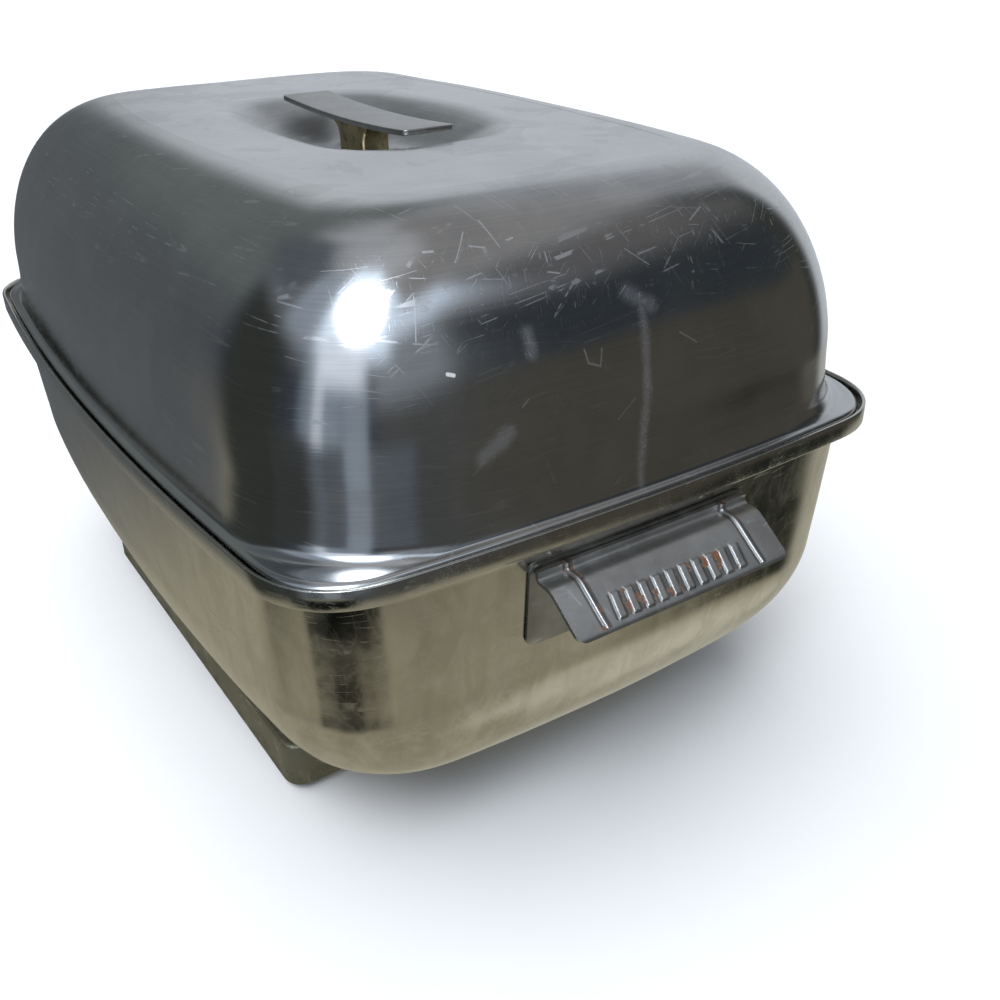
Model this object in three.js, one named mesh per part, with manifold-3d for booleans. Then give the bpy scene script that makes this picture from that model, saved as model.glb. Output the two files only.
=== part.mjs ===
// A tabletop electric smoker: a low heater base, a deep drawn pan with two end handles, a drip tray
// and a wire rack inside it, and a high domed lid with a raised grip.
// Millimetres, +Z up, long axis along X. The origin is on the floor under the middle of the base.
import * as THREE from 'three';
import { mergeVertices } from 'three/addons/utils/BufferGeometryUtils.js';
import Module from 'manifold-3d';

const wasm = await Module();
wasm.setup();

// ---------------------------------------------------------------- driving dimensions

const GAP = 0.3; // left between pieces that touch
const SHEET = 1.2; // pressed sheet of the pan, lid and base

// The pan's rim as a rounded rectangle, whose ends and sides bow outwards between the corners.
const RIM = { halfLength: 208.5, halfWidth: 141, corner: 31, bowEnd: 6.5, bowSide: 11.7 };
const LIP = { height: 8.2, thickness: 1.5, round: 0.4 };
const PAN = { depth: 128, wallInset: 6, draft: 0.06, corner: 37.5, floorSpread: 50, floorRise: 64 };
const LID = {
  skirtInset: 3.2, skirtDrop: LIP.height - SHEET - GAP, roll: 2.2, wallInset: 8.8, wallHeight: 20,
  rise: 104.5, topSpread: 57, corner: 50, cornerLoss: 0.57,
};
// the dish's outline is the rim's, drawn in and shrunk from `edge` at its brink to `floor` at its bottom
const DISH = { inset: 33, corner: 62, edge: 0.45, floor: 0.14, depth: 17 };
const BASE = { halfLength: 125, halfWidth: 120, corner: 9, height: 22, topFlange: 14, tab: 18 };
const HOT_PLATE = { rise: 22.3, pad: 2, lap: 5, thickness: 1.5 };
const FOOT = { height: 4, radius: 8, inset: 14, counterbore: 2.2, screwHole: 2.4, bore: 4.3 };
const BOLT = { radius: 3, clearance: 3.3, headDrop: 2.5 };
const GRIP = { halfLength: 61.5, halfWidth: 12.8, corner: 3, thickness: 2.4, top: 106, upturn: 2.2 };
const STEM = { halfFoot: 12.4, halfWidth: 7, flare: 28, tip: 0.5, screwOffset: 5.5 };
const HANDLE = {
  halfWidth: 51, sheet: 1.6, top: 17, shelfDrop: 20.5, shelfEnd: 9.6, reach: 27, drop: 33, corner: 4,
};
const HANDLE_PLATE = { halfWidth: 52.6, top: 15.5, bottom: 52, thickness: 1.2, corner: 4 };
const TRAY = { halfLength: 150, halfWidth: 92, corner: 25, depth: 12, sheet: 1, draft: 4, footHeight: 9 };
const RACK = { halfLength: 168, halfWidth: 108, corner: 20, frame: 2, bar: 1.4, bars: 13, leg: 28 };
const INLET = {
  halfWidth: 15, height: 14, depth: 17, wall: 1.6, flange: 2.5, pin: 2.4, pinSpacing: 15, tail: 2.5,
};
const THERMOSTAT = { x: 40, length: 28, depth: 22, height: 12, neck: 4.5, bore: 3.3, shaft: 2.9 };
const KNOB = { radius: 9.5, thickness: 12, stand: 4 };
const LAMP = { x: -20, radius: 3.6, length: 20, lens: 4.6 };
const ELEMENT = { radius: 3.25, height: 17, legSpacing: 24 };
const TERMINAL = { x: -88, halfLength: 10, halfWidth: 20, bottom: 9, top: 20 };
const REFLECTOR = { x: 12, halfLength: 84, halfWidth: 80, corner: 16, sheet: 0.8, height: 7, lip: 5 };
const CONTROL_HEIGHT = 11; // of the inlet, thermostat and lamp above the base's lower edge

const PAN_FLOOR = FOOT.height + HOT_PLATE.rise + GAP;
const LIP_TOP = PAN_FLOOR + PAN.depth;
const HALF_TURN = Math.PI;
const QUARTER_TURN = Math.PI / 2;

// ---------------------------------------------------------------- materials

const LOOKS = {
  lidSteel: { color: 0x8f959a, roughness: 0.28, metalness: 1 },
  panSteel: { color: 0x8e8a7c, roughness: 0.25, metalness: 1 },
  satinSteel: { color: 0x7a7c7c, roughness: 0.42, metalness: 1 },
  brass: { color: 0x7a6a45, roughness: 0.4, metalness: 1 },
  baseSteel: { color: 0x565548, roughness: 0.5, metalness: 0.9 },
  castPlate: { color: 0x3c3b39, roughness: 0.6, metalness: 0.7 },
  brightWire: { color: 0xb9bcbf, roughness: 0.25, metalness: 1 },
  sheath: { color: 0x4a4744, roughness: 0.55, metalness: 0.8 },
  ceramic: { color: 0xd9d3c4, roughness: 0.6, metalness: 0 },
  blackPlastic: { color: 0x1c1c1d, roughness: 0.45, metalness: 0 },
  rubber: { color: 0x202021, roughness: 0.8, metalness: 0 },
  amber: { color: 0xd9821f, roughness: 0.15, metalness: 0 },
  glassFibre: { color: 0xcfc8b4, roughness: 0.85, metalness: 0 },
};

function piece(name, geometry, look) {
  const mesh = new THREE.Mesh(geometry, new THREE.MeshStandardMaterial(LOOKS[look]));
  mesh.name = name;
  return mesh;
}

// ---------------------------------------------------------------- solids

// Joins equal vertices and drops the triangles that shrink to nothing, such as those on a lathe's axis.
function merged(geometry) {
  geometry.deleteAttribute('normal');
  geometry.deleteAttribute('uv');
  const joined = mergeVertices(geometry, 1e-4);
  const kept = [];
  const index = joined.index.array;
  for (let i = 0; i < index.length; i += 3) {
    const [a, b, c] = index.slice(i, i + 3);
    if (a !== b && b !== c && c !== a) kept.push(a, b, c);
  }
  joined.setIndex(kept);
  return joined;
}

function toManifold(geometry) {
  const joined = merged(geometry.clone());
  return new wasm.Manifold(new wasm.Mesh({
    numProp: 3,
    vertProperties: new Float32Array(joined.attributes.position.array),
    triVerts: new Uint32Array(joined.index.array),
  }));
}

function toGeometry(manifold) {
  const { vertProperties, triVerts } = manifold.getMesh();
  const geometry = new THREE.BufferGeometry();
  geometry.setAttribute('position', new THREE.BufferAttribute(vertProperties, 3));
  geometry.setIndex(new THREE.BufferAttribute(triVerts, 1));
  return geometry;
}

function cut(body, ...tools) {
  return toGeometry(tools.reduce((solid, tool) => solid.subtract(toManifold(tool)), toManifold(body)));
}

function join(...bodies) {
  const [first, ...rest] = bodies.map(toManifold);
  return toGeometry(rest.reduce((solid, body) => solid.add(body), first));
}

function common(first, second) {
  return toGeometry(toManifold(first).intersect(toManifold(second)));
}

// A block given by its lowest and highest corners.
function block([x0, y0, z0], [x1, y1, z1]) {
  return new THREE.BoxGeometry(x1 - x0, y1 - y0, z1 - z0)
    .translate((x0 + x1) / 2, (y0 + y1) / 2, (z0 + z1) / 2);
}

// An upright rounded-rectangle slab from height z0 to z1.
function slab(halfLength, halfWidth, corner, z0, z1) {
  const shape = new THREE.Shape();
  const [cx, cy] = [halfLength - corner, halfWidth - corner];
  shape.absarc(cx, cy, corner, 0, QUARTER_TURN);
  shape.absarc(-cx, cy, corner, QUARTER_TURN, 2 * QUARTER_TURN);
  shape.absarc(-cx, -cy, corner, 2 * QUARTER_TURN, 3 * QUARTER_TURN);
  shape.absarc(cx, -cy, corner, 3 * QUARTER_TURN, 4 * QUARTER_TURN);
  return new THREE.ExtrudeGeometry(shape, { depth: z1 - z0, bevelEnabled: false, curveSegments: 4 })
    .translate(0, 0, z0);
}

// A rod or disc standing on z0, and the same turned to lie along Y or X.
const upright = (radius, z0, z1, sides = 16) =>
  new THREE.CylinderGeometry(radius, radius, z1 - z0, sides)
    .rotateX(QUARTER_TURN).translate(0, 0, (z0 + z1) / 2);
const alongY = (radius, y0, y1, sides = 16) =>
  new THREE.CylinderGeometry(radius, radius, y1 - y0, sides).translate(0, (y0 + y1) / 2, 0);
const alongX = (radius, x0, x1, sides = 16) =>
  new THREE.CylinderGeometry(radius, radius, x1 - x0, sides)
    .rotateZ(QUARTER_TURN).translate((x0 + x1) / 2, 0, 0);

// A turned piece about Z from [radius, height] pairs that start and end on the axis.
const turned = (pairs, sides = 16) =>
  merged(new THREE.LatheGeometry(pairs.map(([r, z]) => new THREE.Vector2(r, z)), sides)
    .rotateX(QUARTER_TURN));

// A profile drawn in X and Z, extruded evenly to both sides of Y.
function ribbon(profile, halfWidth) {
  return new THREE.ExtrudeGeometry(profile, { depth: 2 * halfWidth, bevelEnabled: false, curveSegments: 8 })
    .rotateX(QUARTER_TURN).translate(0, halfWidth, 0);
}

// A round tube along a smooth curve through the points.
function tube(points, radius, sides, steps) {
  const path = new THREE.CatmullRomCurve3(points.map((point) => new THREE.Vector3(...point)));
  const ring = Array.from({ length: sides }, (_, i) => {
    const angle = 2 * HALF_TURN * i / sides;
    return new THREE.Vector2(radius * Math.cos(angle), radius * Math.sin(angle));
  });
  const sweep = { steps, extrudePath: path, bevelEnabled: false };
  return new THREE.ExtrudeGeometry(new THREE.Shape(ring), sweep);
}

// ---------------------------------------------------------------- drawn shells

const CORNER_STEPS = 6;
const SIDE_STEPS = 4;
const QUARTER_STEPS = CORNER_STEPS + SIDE_STEPS;
const CORNER_X = [1, -1, -1, 1, 1];
const CORNER_Y = [1, 1, -1, -1, 1];

// One of the points round a bowed, rounded rectangle. Each quarter is a corner arc and then a side.
function outlinePoint(step, outline, { inset, corner = outline.corner - inset, shrink = 1 }) {
  const a = outline.halfLength - inset;
  const b = outline.halfWidth - inset;
  const quarter = Math.floor(step / QUARTER_STEPS);
  const along = step % QUARTER_STEPS;
  const angle = (quarter + Math.min(along / CORNER_STEPS, 1)) * QUARTER_TURN;
  const slide = Math.max(along - CORNER_STEPS, 0) / SIDE_STEPS;
  const centreX = THREE.MathUtils.lerp(CORNER_X[quarter], CORNER_X[quarter + 1], slide) * (a - corner);
  const centreY = THREE.MathUtils.lerp(CORNER_Y[quarter], CORNER_Y[quarter + 1], slide) * (b - corner);
  const x = centreX + corner * Math.cos(angle);
  const y = centreY + corner * Math.sin(angle);
  const bowedX = x + (outline.bowEnd ?? 0) * (1 - (y / b) ** 2) * x / a;
  const bowedY = y + (outline.bowSide ?? 0) * (1 - (x / a) ** 2) * y / b;
  return [bowedX * shrink, bowedY * shrink];
}

// A lathe whose circles are opened out into the rounded rectangles of the given sections.
function drawnShell(outline, sections) {
  const around = 4 * QUARTER_STEPS;
  const profile = sections.map(({ inset, height }) => new THREE.Vector2(outline.halfWidth - inset, height));
  const geometry = new THREE.LatheGeometry(profile, around);
  const { position } = geometry.attributes;
  for (let i = 0; i < position.count; i++) {
    const section = sections[i % sections.length];
    const step = Math.floor(i / sections.length) % around;
    const [x, y] = outlinePoint(step, outline, section);
    position.setXYZ(i, x, y, section.height);
  }
  return merged(geometry);
}

// Evenly spaced steps from 0 to 1, both ends included.
const fractions = (count) => Array.from({ length: count + 1 }, (_, i) => i / count);

// ---------------------------------------------------------------- pan

const PAN_LOW_INSET = PAN.wallInset + PAN.draft * (PAN.depth - PAN.floorRise - LIP.height);
const PAN_FLAT_INSET = PAN_LOW_INSET + PAN.floorSpread;

// The pan's floor and rounded lower wall, `inside` millimetres in from the outer face.
function panBowl(inside) {
  const corner = PAN.corner;
  const floor = { inset: PAN_FLAT_INSET, corner, height: inside - PAN.depth };
  const rounded = fractions(6).slice(1).map((t) => ({
    inset: PAN_FLAT_INSET - (PAN.floorSpread - inside) * Math.sin(t * QUARTER_TURN),
    corner,
    height: PAN.floorRise - PAN.depth - (PAN.floorRise - inside) * Math.cos(t * QUARTER_TURN),
  }));
  return [{ ...floor, shrink: 0 }, floor, ...rounded];
}

function panShell() {
  const { height, thickness, round } = LIP;
  const ledge = SHEET - height;
  const outerWall = [
    { inset: PAN.wallInset, corner: PAN.corner, height: -height - SHEET },
    { inset: PAN.wallInset - SHEET, corner: PAN.corner - SHEET, height: -height },
  ];
  const band = [
    { inset: round, height: -height },
    { inset: 0, height: round - height },
    { inset: 0, height: -round },
    { inset: round, height: 0 },
    { inset: thickness - round, height: 0 },
    { inset: thickness, height: -round },
    { inset: thickness, height: ledge },
  ];
  const innerWall = [
    { inset: PAN.wallInset, corner: PAN.corner - SHEET, height: ledge },
    { inset: PAN.wallInset + SHEET, corner: PAN.corner, height: ledge - SHEET },
  ];
  const inside = panBowl(SHEET).reverse();
  const sections = [...panBowl(0), ...outerWall, ...band, ...innerWall, ...inside];
  return piece('pan_shell', drawnShell(RIM, sections), 'panSteel');
}

// How far out the middle of the pan's end wall stands at a depth below the lip.
const endWall = (depth) => RIM.halfLength + RIM.bowEnd - PAN.wallInset - PAN.draft * (depth - LIP.height);

// A flat plate that lies on the end wall, behind the handle.
function handlePlate() {
  const { top, bottom, thickness, halfWidth, corner } = HANDLE_PLATE;
  const inner = (depth) => endWall(depth) + GAP;
  const profile = new THREE.Shape([
    new THREE.Vector2(inner(top), -top),
    new THREE.Vector2(inner(bottom), -bottom),
    new THREE.Vector2(inner(bottom) + thickness, -bottom),
    new THREE.Vector2(inner(top) + thickness, -top),
  ]);
  const face = slab((bottom - top) / 2, halfWidth, corner, 0, 2 * RIM.halfLength)
    .rotateY(QUARTER_TURN).translate(0, 0, -(top + bottom) / 2);
  return common(ribbon(profile, halfWidth), face);
}

// The handle is one bent sheet: a tab on the plate, a short level shelf and a sloping grip.
function handleSheet() {
  const { sheet, top, shelfDrop, shelfEnd, reach, drop, halfWidth, corner } = HANDLE;
  const foot = endWall(shelfDrop) + 2 * GAP + HANDLE_PLATE.thickness;
  const slope = Math.atan2(drop - shelfDrop, reach - shelfEnd);
  const [downX, downZ] = [sheet * Math.sin(slope), sheet * Math.cos(slope)];
  const profile = new THREE.Shape([
    new THREE.Vector2(foot + PAN.draft * (shelfDrop - top), -top),
    new THREE.Vector2(foot, -shelfDrop - sheet),
    new THREE.Vector2(foot + shelfEnd - downX, -shelfDrop - sheet),
    new THREE.Vector2(foot + reach - downX, -drop - downZ),
    new THREE.Vector2(foot + reach, -drop),
    new THREE.Vector2(foot + shelfEnd, -shelfDrop),
    new THREE.Vector2(foot + sheet + 1, -shelfDrop),
    new THREE.Vector2(foot + sheet, -shelfDrop + 1),
    new THREE.Vector2(foot + sheet + PAN.draft * (shelfDrop - top), -top),
  ]);
  const plan = slab(foot + reach, halfWidth, corner, -HANDLE_PLATE.bottom, 0);
  return common(ribbon(profile, halfWidth), plan);
}

function endHandles() {
  return ['near', 'far'].map((end, i) => {
    const side = new THREE.Group();
    side.add(
      piece(`${end}_handle_plate`, handlePlate(), 'satinSteel'),
      piece(`${end}_handle`, handleSheet(), 'satinSteel'),
    );
    side.rotation.z = i * HALF_TURN;
    return side;
  });
}

// ---------------------------------------------------------------- drip tray and rack

const TRAY_FLOOR = TRAY.footHeight + TRAY.sheet;

function dripTray() {
  const { halfLength, halfWidth, corner, depth, sheet, draft, footHeight } = TRAY;
  const wall = (inset, height) => ({ inset, height: footHeight + height, corner: corner - inset / 2 });
  const shell = drawnShell({ halfLength, halfWidth, corner }, [
    { ...wall(6 + draft, 0), shrink: 0 }, wall(6 + draft, 0), wall(4 + draft, 0.6), wall(4, depth - sheet),
    wall(0, depth - sheet), wall(0, depth), wall(5, depth), wall(5 + draft, sheet + 0.6),
    wall(7 + draft, sheet), { ...wall(7 + draft, sheet), shrink: 0 },
  ]);
  const footRadius = 7;
  const feet = CORNER_X.slice(0, 4).map((signX, i) =>
    turned([[0, 0], [footRadius - 2, 0], [footRadius, footHeight + sheet / 2], [0, footHeight + sheet / 2]])
      .translate(signX * (halfLength - 40), CORNER_Y[i] * (halfWidth - 35), 0));
  return piece('drip_tray', join(shell, ...feet), 'satinSteel');
}

const RACK_LEG = [TRAY.halfLength - 45, TRAY.halfWidth - 30];

// The rack's grid: a bent frame wire, two runners along it and cross bars welded on top.
function wireRack() {
  const { halfLength, halfWidth, corner, frame, bar, bars, leg } = RACK;
  const sides = 6;
  const frameRing = drawnShell({ halfLength, halfWidth, corner }, fractions(sides).map((t) => ({
    inset: frame - frame * Math.cos(2 * HALF_TURN * t),
    height: leg + frame * Math.sin(2 * HALF_TURN * t),
  })));
  const crossBars = fractions(bars - 1).map((t) =>
    alongY(bar, frame - halfWidth, halfWidth - frame, sides)
      .translate((2 * t - 1) * (halfLength - corner), 0, leg + frame));
  const runners = [-1, 1].map((side) =>
    alongX(frame, frame - halfLength, halfLength - frame, sides).translate(0, side * RACK_LEG[1], leg));
  return piece('wire_rack', join(frameRing, ...runners, ...crossBars), 'brightWire');
}

// Four round-ended legs stand in the tray and carry the runners.
function rackLegs() {
  const { frame, leg } = RACK;
  const top = leg - frame - GAP;
  const profile = [[0, 0], [frame * 0.6, 0.3], [frame, 1.4], [frame, top], [0, top]];
  return CORNER_X.slice(0, 4).map((signX, i) => piece(
    `rack_leg_${i + 1}`,
    turned(profile, 8).translate(signX * RACK_LEG[0], CORNER_Y[i] * RACK_LEG[1], 0),
    'brightWire',
  ));
}

// ---------------------------------------------------------------- lid

const LID_TOP_INSET = LID.wallInset + LID.topSpread;
const lidCorner = (inset) => LID.corner - LID.cornerLoss * (inset - LID.wallInset);
const DISH_FLOOR = LID.rise - DISH.depth;

// The dome from its wall up over the shoulder and down into the shallow dish round the grip.
function lidDome(inside) {
  const shoulder = fractions(7).map((t) => {
    const inset = LID_TOP_INSET - (LID.topSpread - inside) * Math.cos(t * QUARTER_TURN);
    const height = LID.wallHeight + (LID.rise - LID.wallHeight - inside) * Math.sin(t * QUARTER_TURN);
    return { inset, corner: lidCorner(inset), height };
  });
  const dish = fractions(5).map((t) => {
    const shrink = THREE.MathUtils.lerp(DISH.edge, DISH.floor, t);
    const height = LID.rise - inside - DISH.depth * THREE.MathUtils.smoothstep(t, 0, 1);
    return { inset: DISH.inset, corner: DISH.corner, height, shrink };
  });
  return [...shoulder, ...dish, { ...dish.at(-1), shrink: 0 }];
}

function lidShell() {
  const { skirtInset, skirtDrop, roll, wallInset } = LID;
  const skirtCorner = RIM.corner - skirtInset;
  const flange = [
    { inset: skirtInset, height: -skirtDrop },
    { inset: skirtInset, height: -roll },
    { inset: skirtInset + 0.3 * roll, height: -0.3 * roll },
    { inset: skirtInset + 0.95 * roll, height: 0, corner: skirtCorner + 2 },
    { inset: wallInset - 2, height: 0.6, corner: LID.corner - 10 },
    { inset: wallInset - 1.4, height: 2.2, corner: LID.corner - 3 },
    { inset: wallInset - 0.9, height: 5, corner: LID.corner },
  ];
  const underside = [
    { inset: wallInset - 0.9 + SHEET, height: 5, corner: LID.corner },
    { inset: wallInset - 0.2, height: 1.9, corner: LID.corner - 3 },
    { inset: wallInset - 1, height: -0.4, corner: LID.corner - 10 },
    { inset: skirtInset + roll, height: -SHEET, corner: skirtCorner + 1 },
    { inset: skirtInset + SHEET, height: -roll },
    { inset: skirtInset + SHEET, height: -skirtDrop },
  ];
  const shell = drawnShell(RIM, [...lidDome(SHEET).reverse(), ...underside, ...flange, ...lidDome(0)]);
  const holes = [-1, 1].map((side) => upright(2.2, DISH_FLOOR - 5, DISH_FLOOR + 5, 12)
    .translate(side * STEM.screwOffset, 0, 0));
  return piece('lid_shell', cut(shell, ...holes), 'lidSteel');
}

const gripSag = (x) => GRIP.upturn * (x / GRIP.halfLength) ** 2;

// The grip plate: thin, rounded at the corners and curving up a little towards both ends.
function gripPlate() {
  const { halfLength, halfWidth, corner, thickness, top } = GRIP;
  const face = (height, from) => fractions(12).map((t) => from * (1 - 2 * t))
    .map((x) => new THREE.Vector2(x, height + gripSag(x)));
  const band = new THREE.Shape([...face(top - thickness, -halfLength), ...face(top, halfLength)]);
  const plan = slab(halfLength, halfWidth, corner, top - 3 * thickness, top + 3 * thickness);
  return piece('grip_plate', common(ribbon(band, halfWidth + 1), plan), 'satinSteel');
}

// The stem is narrow at its foot and sweeps out under the plate towards both ends.
function gripStem() {
  const { halfFoot, halfWidth, flare, tip, screwOffset } = STEM;
  const foot = DISH_FLOOR + GAP;
  const [column, neck, sweep] = [6, 0.3, 4.5]; // the straight part, its waist, and the flare's reach
  const under = (x) => GRIP.top - GRIP.thickness - GAP + gripSag(x);
  const tipLow = under(flare) - tip;
  const profile = new THREE.Shape();
  profile.moveTo(-halfFoot, foot);
  profile.lineTo(halfFoot, foot);
  profile.lineTo(halfFoot - neck, foot + column);
  profile.bezierCurveTo(halfFoot, tipLow - 2.6, halfFoot + sweep, tipLow - 0.7, flare, tipLow);
  fractions(8).map((t) => (1 - 2 * t) * flare).forEach((x) => profile.lineTo(x, under(x)));
  profile.lineTo(-flare, tipLow);
  profile.bezierCurveTo(-halfFoot - sweep, tipLow - 0.7, -halfFoot, tipLow - 2.6,
    neck - halfFoot, foot + column);
  const holes = [-1, 1].map((side) => upright(2.2, foot - 1, foot + 7, 12)
    .translate(side * screwOffset, 0, 0));
  return piece('grip_stem', cut(ribbon(profile, halfWidth), ...holes), 'brass');
}

function gripFasteners() {
  const plateTop = DISH_FLOOR - SHEET - GAP;
  const thickness = 1.2;
  const holes = [-1, 1].map((side) => upright(2.2, plateTop - 5, plateTop + 5, 12)
    .translate(side * STEM.screwOffset, 0, 0));
  const backing = cut(slab(12, 7, 2, plateTop - thickness, plateTop), ...holes);
  const headTop = plateTop - thickness - GAP;
  const screws = [-1, 1].map((side, i) => piece(
    ['grip_screw_left', 'grip_screw_right'][i],
    turned([[0, headTop - 2.4], [2.6, headTop - 2.4], [3.6, headTop - 1.4], [3.6, headTop], [1.8, headTop],
      [1.8, DISH_FLOOR + 6], [0, DISH_FLOOR + 6]], 12).translate(side * STEM.screwOffset, 0, 0),
    'satinSteel',
  ));
  return [piece('grip_backing_plate', backing, 'satinSteel'), ...screws];
}

// ---------------------------------------------------------------- base

const FOOT_PLACES = CORNER_X.slice(0, 4).map((signX, i) =>
  [signX * (BASE.halfLength - FOOT.inset), CORNER_Y[i] * (BASE.halfWidth - FOOT.inset)]);

// The folded box: four walls, a narrow flange round the top and a screw tab in each lower corner.
function baseHousing() {
  const { halfLength, halfWidth, corner, height, topFlange, tab } = BASE;
  const outside = slab(halfLength, halfWidth, corner, 0, height);
  const inside = slab(halfLength - SHEET, halfWidth - SHEET, corner - SHEET, -1, height - SHEET);
  const opening = slab(halfLength - topFlange, halfWidth - topFlange, corner, height - 5, height + 1);
  const tabHeight = SHEET + GAP;
  const tabs = FOOT_PLACES.map(([x, y]) => common(
    slab(halfLength - SHEET / 2, halfWidth - SHEET / 2, corner, tabHeight, tabHeight + SHEET),
    block([x - tab, y - tab, tabHeight], [x + tab, y + tab, tabHeight + SHEET])));
  const screwHoles = FOOT_PLACES.map(([x, y]) => upright(FOOT.screwHole, 0, 5, 12).translate(x, y, 0));
  const wallHoles = [
    block([-halfLength - 1, -INLET.halfWidth - GAP, CONTROL_HEIGHT - INLET.height / 2 - GAP],
      [-halfLength + 5, INLET.halfWidth + GAP, CONTROL_HEIGHT + INLET.height / 2 + GAP]),
    alongY(THERMOSTAT.neck + GAP, halfWidth - 5, halfWidth + 1).translate(THERMOSTAT.x, 0, CONTROL_HEIGHT),
    alongY(LAMP.radius + GAP, halfWidth - 5, halfWidth + 1).translate(LAMP.x, 0, CONTROL_HEIGHT),
  ];
  const box = join(cut(outside, inside, opening), ...tabs);
  return piece('base_housing', cut(box, ...screwHoles, ...wallHoles), 'baseSteel');
}

// The heater plate laps under the housing's top flange, and its raised pad carries the pan.
function hotPlate() {
  const { rise, pad, lap, thickness } = HOT_PLATE;
  const opening = [BASE.halfLength - BASE.topFlange, BASE.halfWidth - BASE.topFlange];
  const [lapTop, underside] = [BASE.height - SHEET - GAP, rise - thickness];
  const rimPart = slab(opening[0] + lap, opening[1] + lap, BASE.corner, lapTop - thickness, lapTop);
  const padPart = slab(opening[0] - pad, opening[1] - pad, BASE.corner, lapTop - thickness, rise);
  const wall = pad + thickness;
  const hollow = slab(opening[0] - wall, opening[1] - wall, BASE.corner, 0, underside);
  const boltHole = upright(BOLT.clearance, underside - 1, rise - 0.6);
  return piece('hot_plate', cut(join(rimPart, padPart), hollow, boltHole), 'castPlate');
}

function bottomPlate() {
  const { halfLength, halfWidth, corner } = BASE;
  const margin = SHEET + GAP;
  const plate = slab(halfLength - margin, halfWidth - margin, corner - margin, 0, SHEET);
  const screwHoles = FOOT_PLACES.map(([x, y]) => upright(FOOT.screwHole, -1, 5, 12).translate(x, y, 0));
  return piece('bottom_plate', cut(plate, upright(BOLT.clearance, -1, 5), ...screwHoles), 'baseSteel');
}

function reflector() {
  const { x, halfLength, halfWidth, corner, sheet, height, lip } = REFLECTOR;
  const outside = slab(halfLength, halfWidth, corner, height, height + lip);
  const [length, width] = [halfLength - sheet, halfWidth - sheet];
  const inside = slab(length, width, corner - sheet, height + sheet, height + lip + 1);
  const tray = cut(outside, inside).translate(x, 0, 0);
  return piece('heat_reflector', cut(tray, upright(BOLT.clearance, 0, 20)), 'brightWire');
}

function centreBolt() {
  const top = HOT_PLATE.rise - 0.6 - GAP;
  const seat = REFLECTOR.height + REFLECTOR.sheet + GAP;
  const { radius, clearance, headDrop } = BOLT;
  const bolt = turned([[0, -headDrop], [radius, -headDrop], [radius, top], [0, top]], 12);
  const spacer = (z0, z1) => cut(upright(2 * radius, z0, z1, 12), upright(clearance, z0 - 1, z1 + 1));
  const nut = cut(upright(5.5, -2.6, -GAP, 6), upright(clearance, -5, 5));
  return [
    piece('centre_bolt', bolt, 'satinSteel'),
    piece('centre_nut', nut, 'satinSteel'),
    piece('lower_spacer', spacer(SHEET + GAP, REFLECTOR.height - GAP), 'satinSteel'),
    piece('upper_spacer', spacer(seat, HOT_PLATE.rise - HOT_PLATE.thickness - GAP), 'satinSteel'),
  ];
}

// One sheathed loop: two cold ends in the terminal block and a single turn round the plate.
function heatingElement() {
  const { radius, height, legSpacing } = ELEMENT;
  const half = [
    [-84, legSpacing / 2], [-77, legSpacing / 2], [-68, 15], [-58, 42],
    [-40, 64], [10, 70], [64, 62], [86, 34],
  ];
  const mirrored = half.map(([x, y]) => [x, -y]).reverse();
  const points = [...half, [91, 0], ...mirrored].map(([x, y]) => [x, y, height]);
  return piece('heating_element', tube(points, radius, 6, 48), 'sheath');
}

function elementSupports() {
  const places = [[10, 70], [10, -70], [91, 0]];
  const [low, high] = [REFLECTOR.height + REFLECTOR.sheet + GAP, ELEMENT.height - ELEMENT.radius - GAP];
  return places.map(([x, y], i) => {
    const pillar = block([x - 4, y - 4, low], [x + 4, y + 4, high]);
    return piece(`element_support_${i + 1}`, pillar, 'ceramic');
  });
}

function terminalBlock() {
  const { x, halfLength, halfWidth, bottom, top } = TERMINAL;
  const body = block([x - halfLength, -halfWidth, bottom], [x + halfLength, halfWidth, top]);
  const sockets = [-1, 1].map((side) => alongX(ELEMENT.radius + GAP, x - 2, x + halfLength + 1)
    .translate(0, side * ELEMENT.legSpacing / 2, ELEMENT.height));
  const stand = block([x - halfLength, -halfWidth / 2, SHEET + GAP],
    [x + halfLength, halfWidth / 2, bottom + 1]);
  return piece('terminal_block', cut(join(body, stand), ...sockets), 'ceramic');
}

// The appliance inlet in the far wall: an open socket with two round pins.
function inletSocket() {
  const { halfWidth, height, depth, wall, flange, pin, pinSpacing, tail } = INLET;
  const outer = -BASE.halfLength;
  const [low, high] = [CONTROL_HEIGHT - height / 2, CONTROL_HEIGHT + height / 2];
  const body = block([outer - GAP - 0.5, -halfWidth, low], [outer + depth, halfWidth, high]);
  const rimPlate = block([outer - GAP - flange, -halfWidth - 2, low - 2],
    [outer - GAP, halfWidth + 2, high + 2]);
  const hollow = block([outer - 10, -halfWidth + wall, low + wall],
    [outer + depth - 3, halfWidth - wall, high - wall]);
  const placePin = (geometry, side) => geometry.translate(0, side * pinSpacing / 2, CONTROL_HEIGHT);
  const pinHoles = [-1, 1].map((side) => placePin(alongX(pin + GAP, outer, outer + depth + 1, 12), side));
  const pins = [-1, 1].map((side, i) => piece(
    ['inlet_pin_right', 'inlet_pin_left'][i],
    placePin(alongX(pin, outer + 1, outer + depth + tail, 12), side),
    'satinSteel',
  ));
  return [piece('inlet_socket', cut(join(body, rimPlate), hollow, ...pinHoles), 'blackPlastic'), ...pins];
}

// ---------------------------------------------------------------- controls on the rear wall

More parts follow.
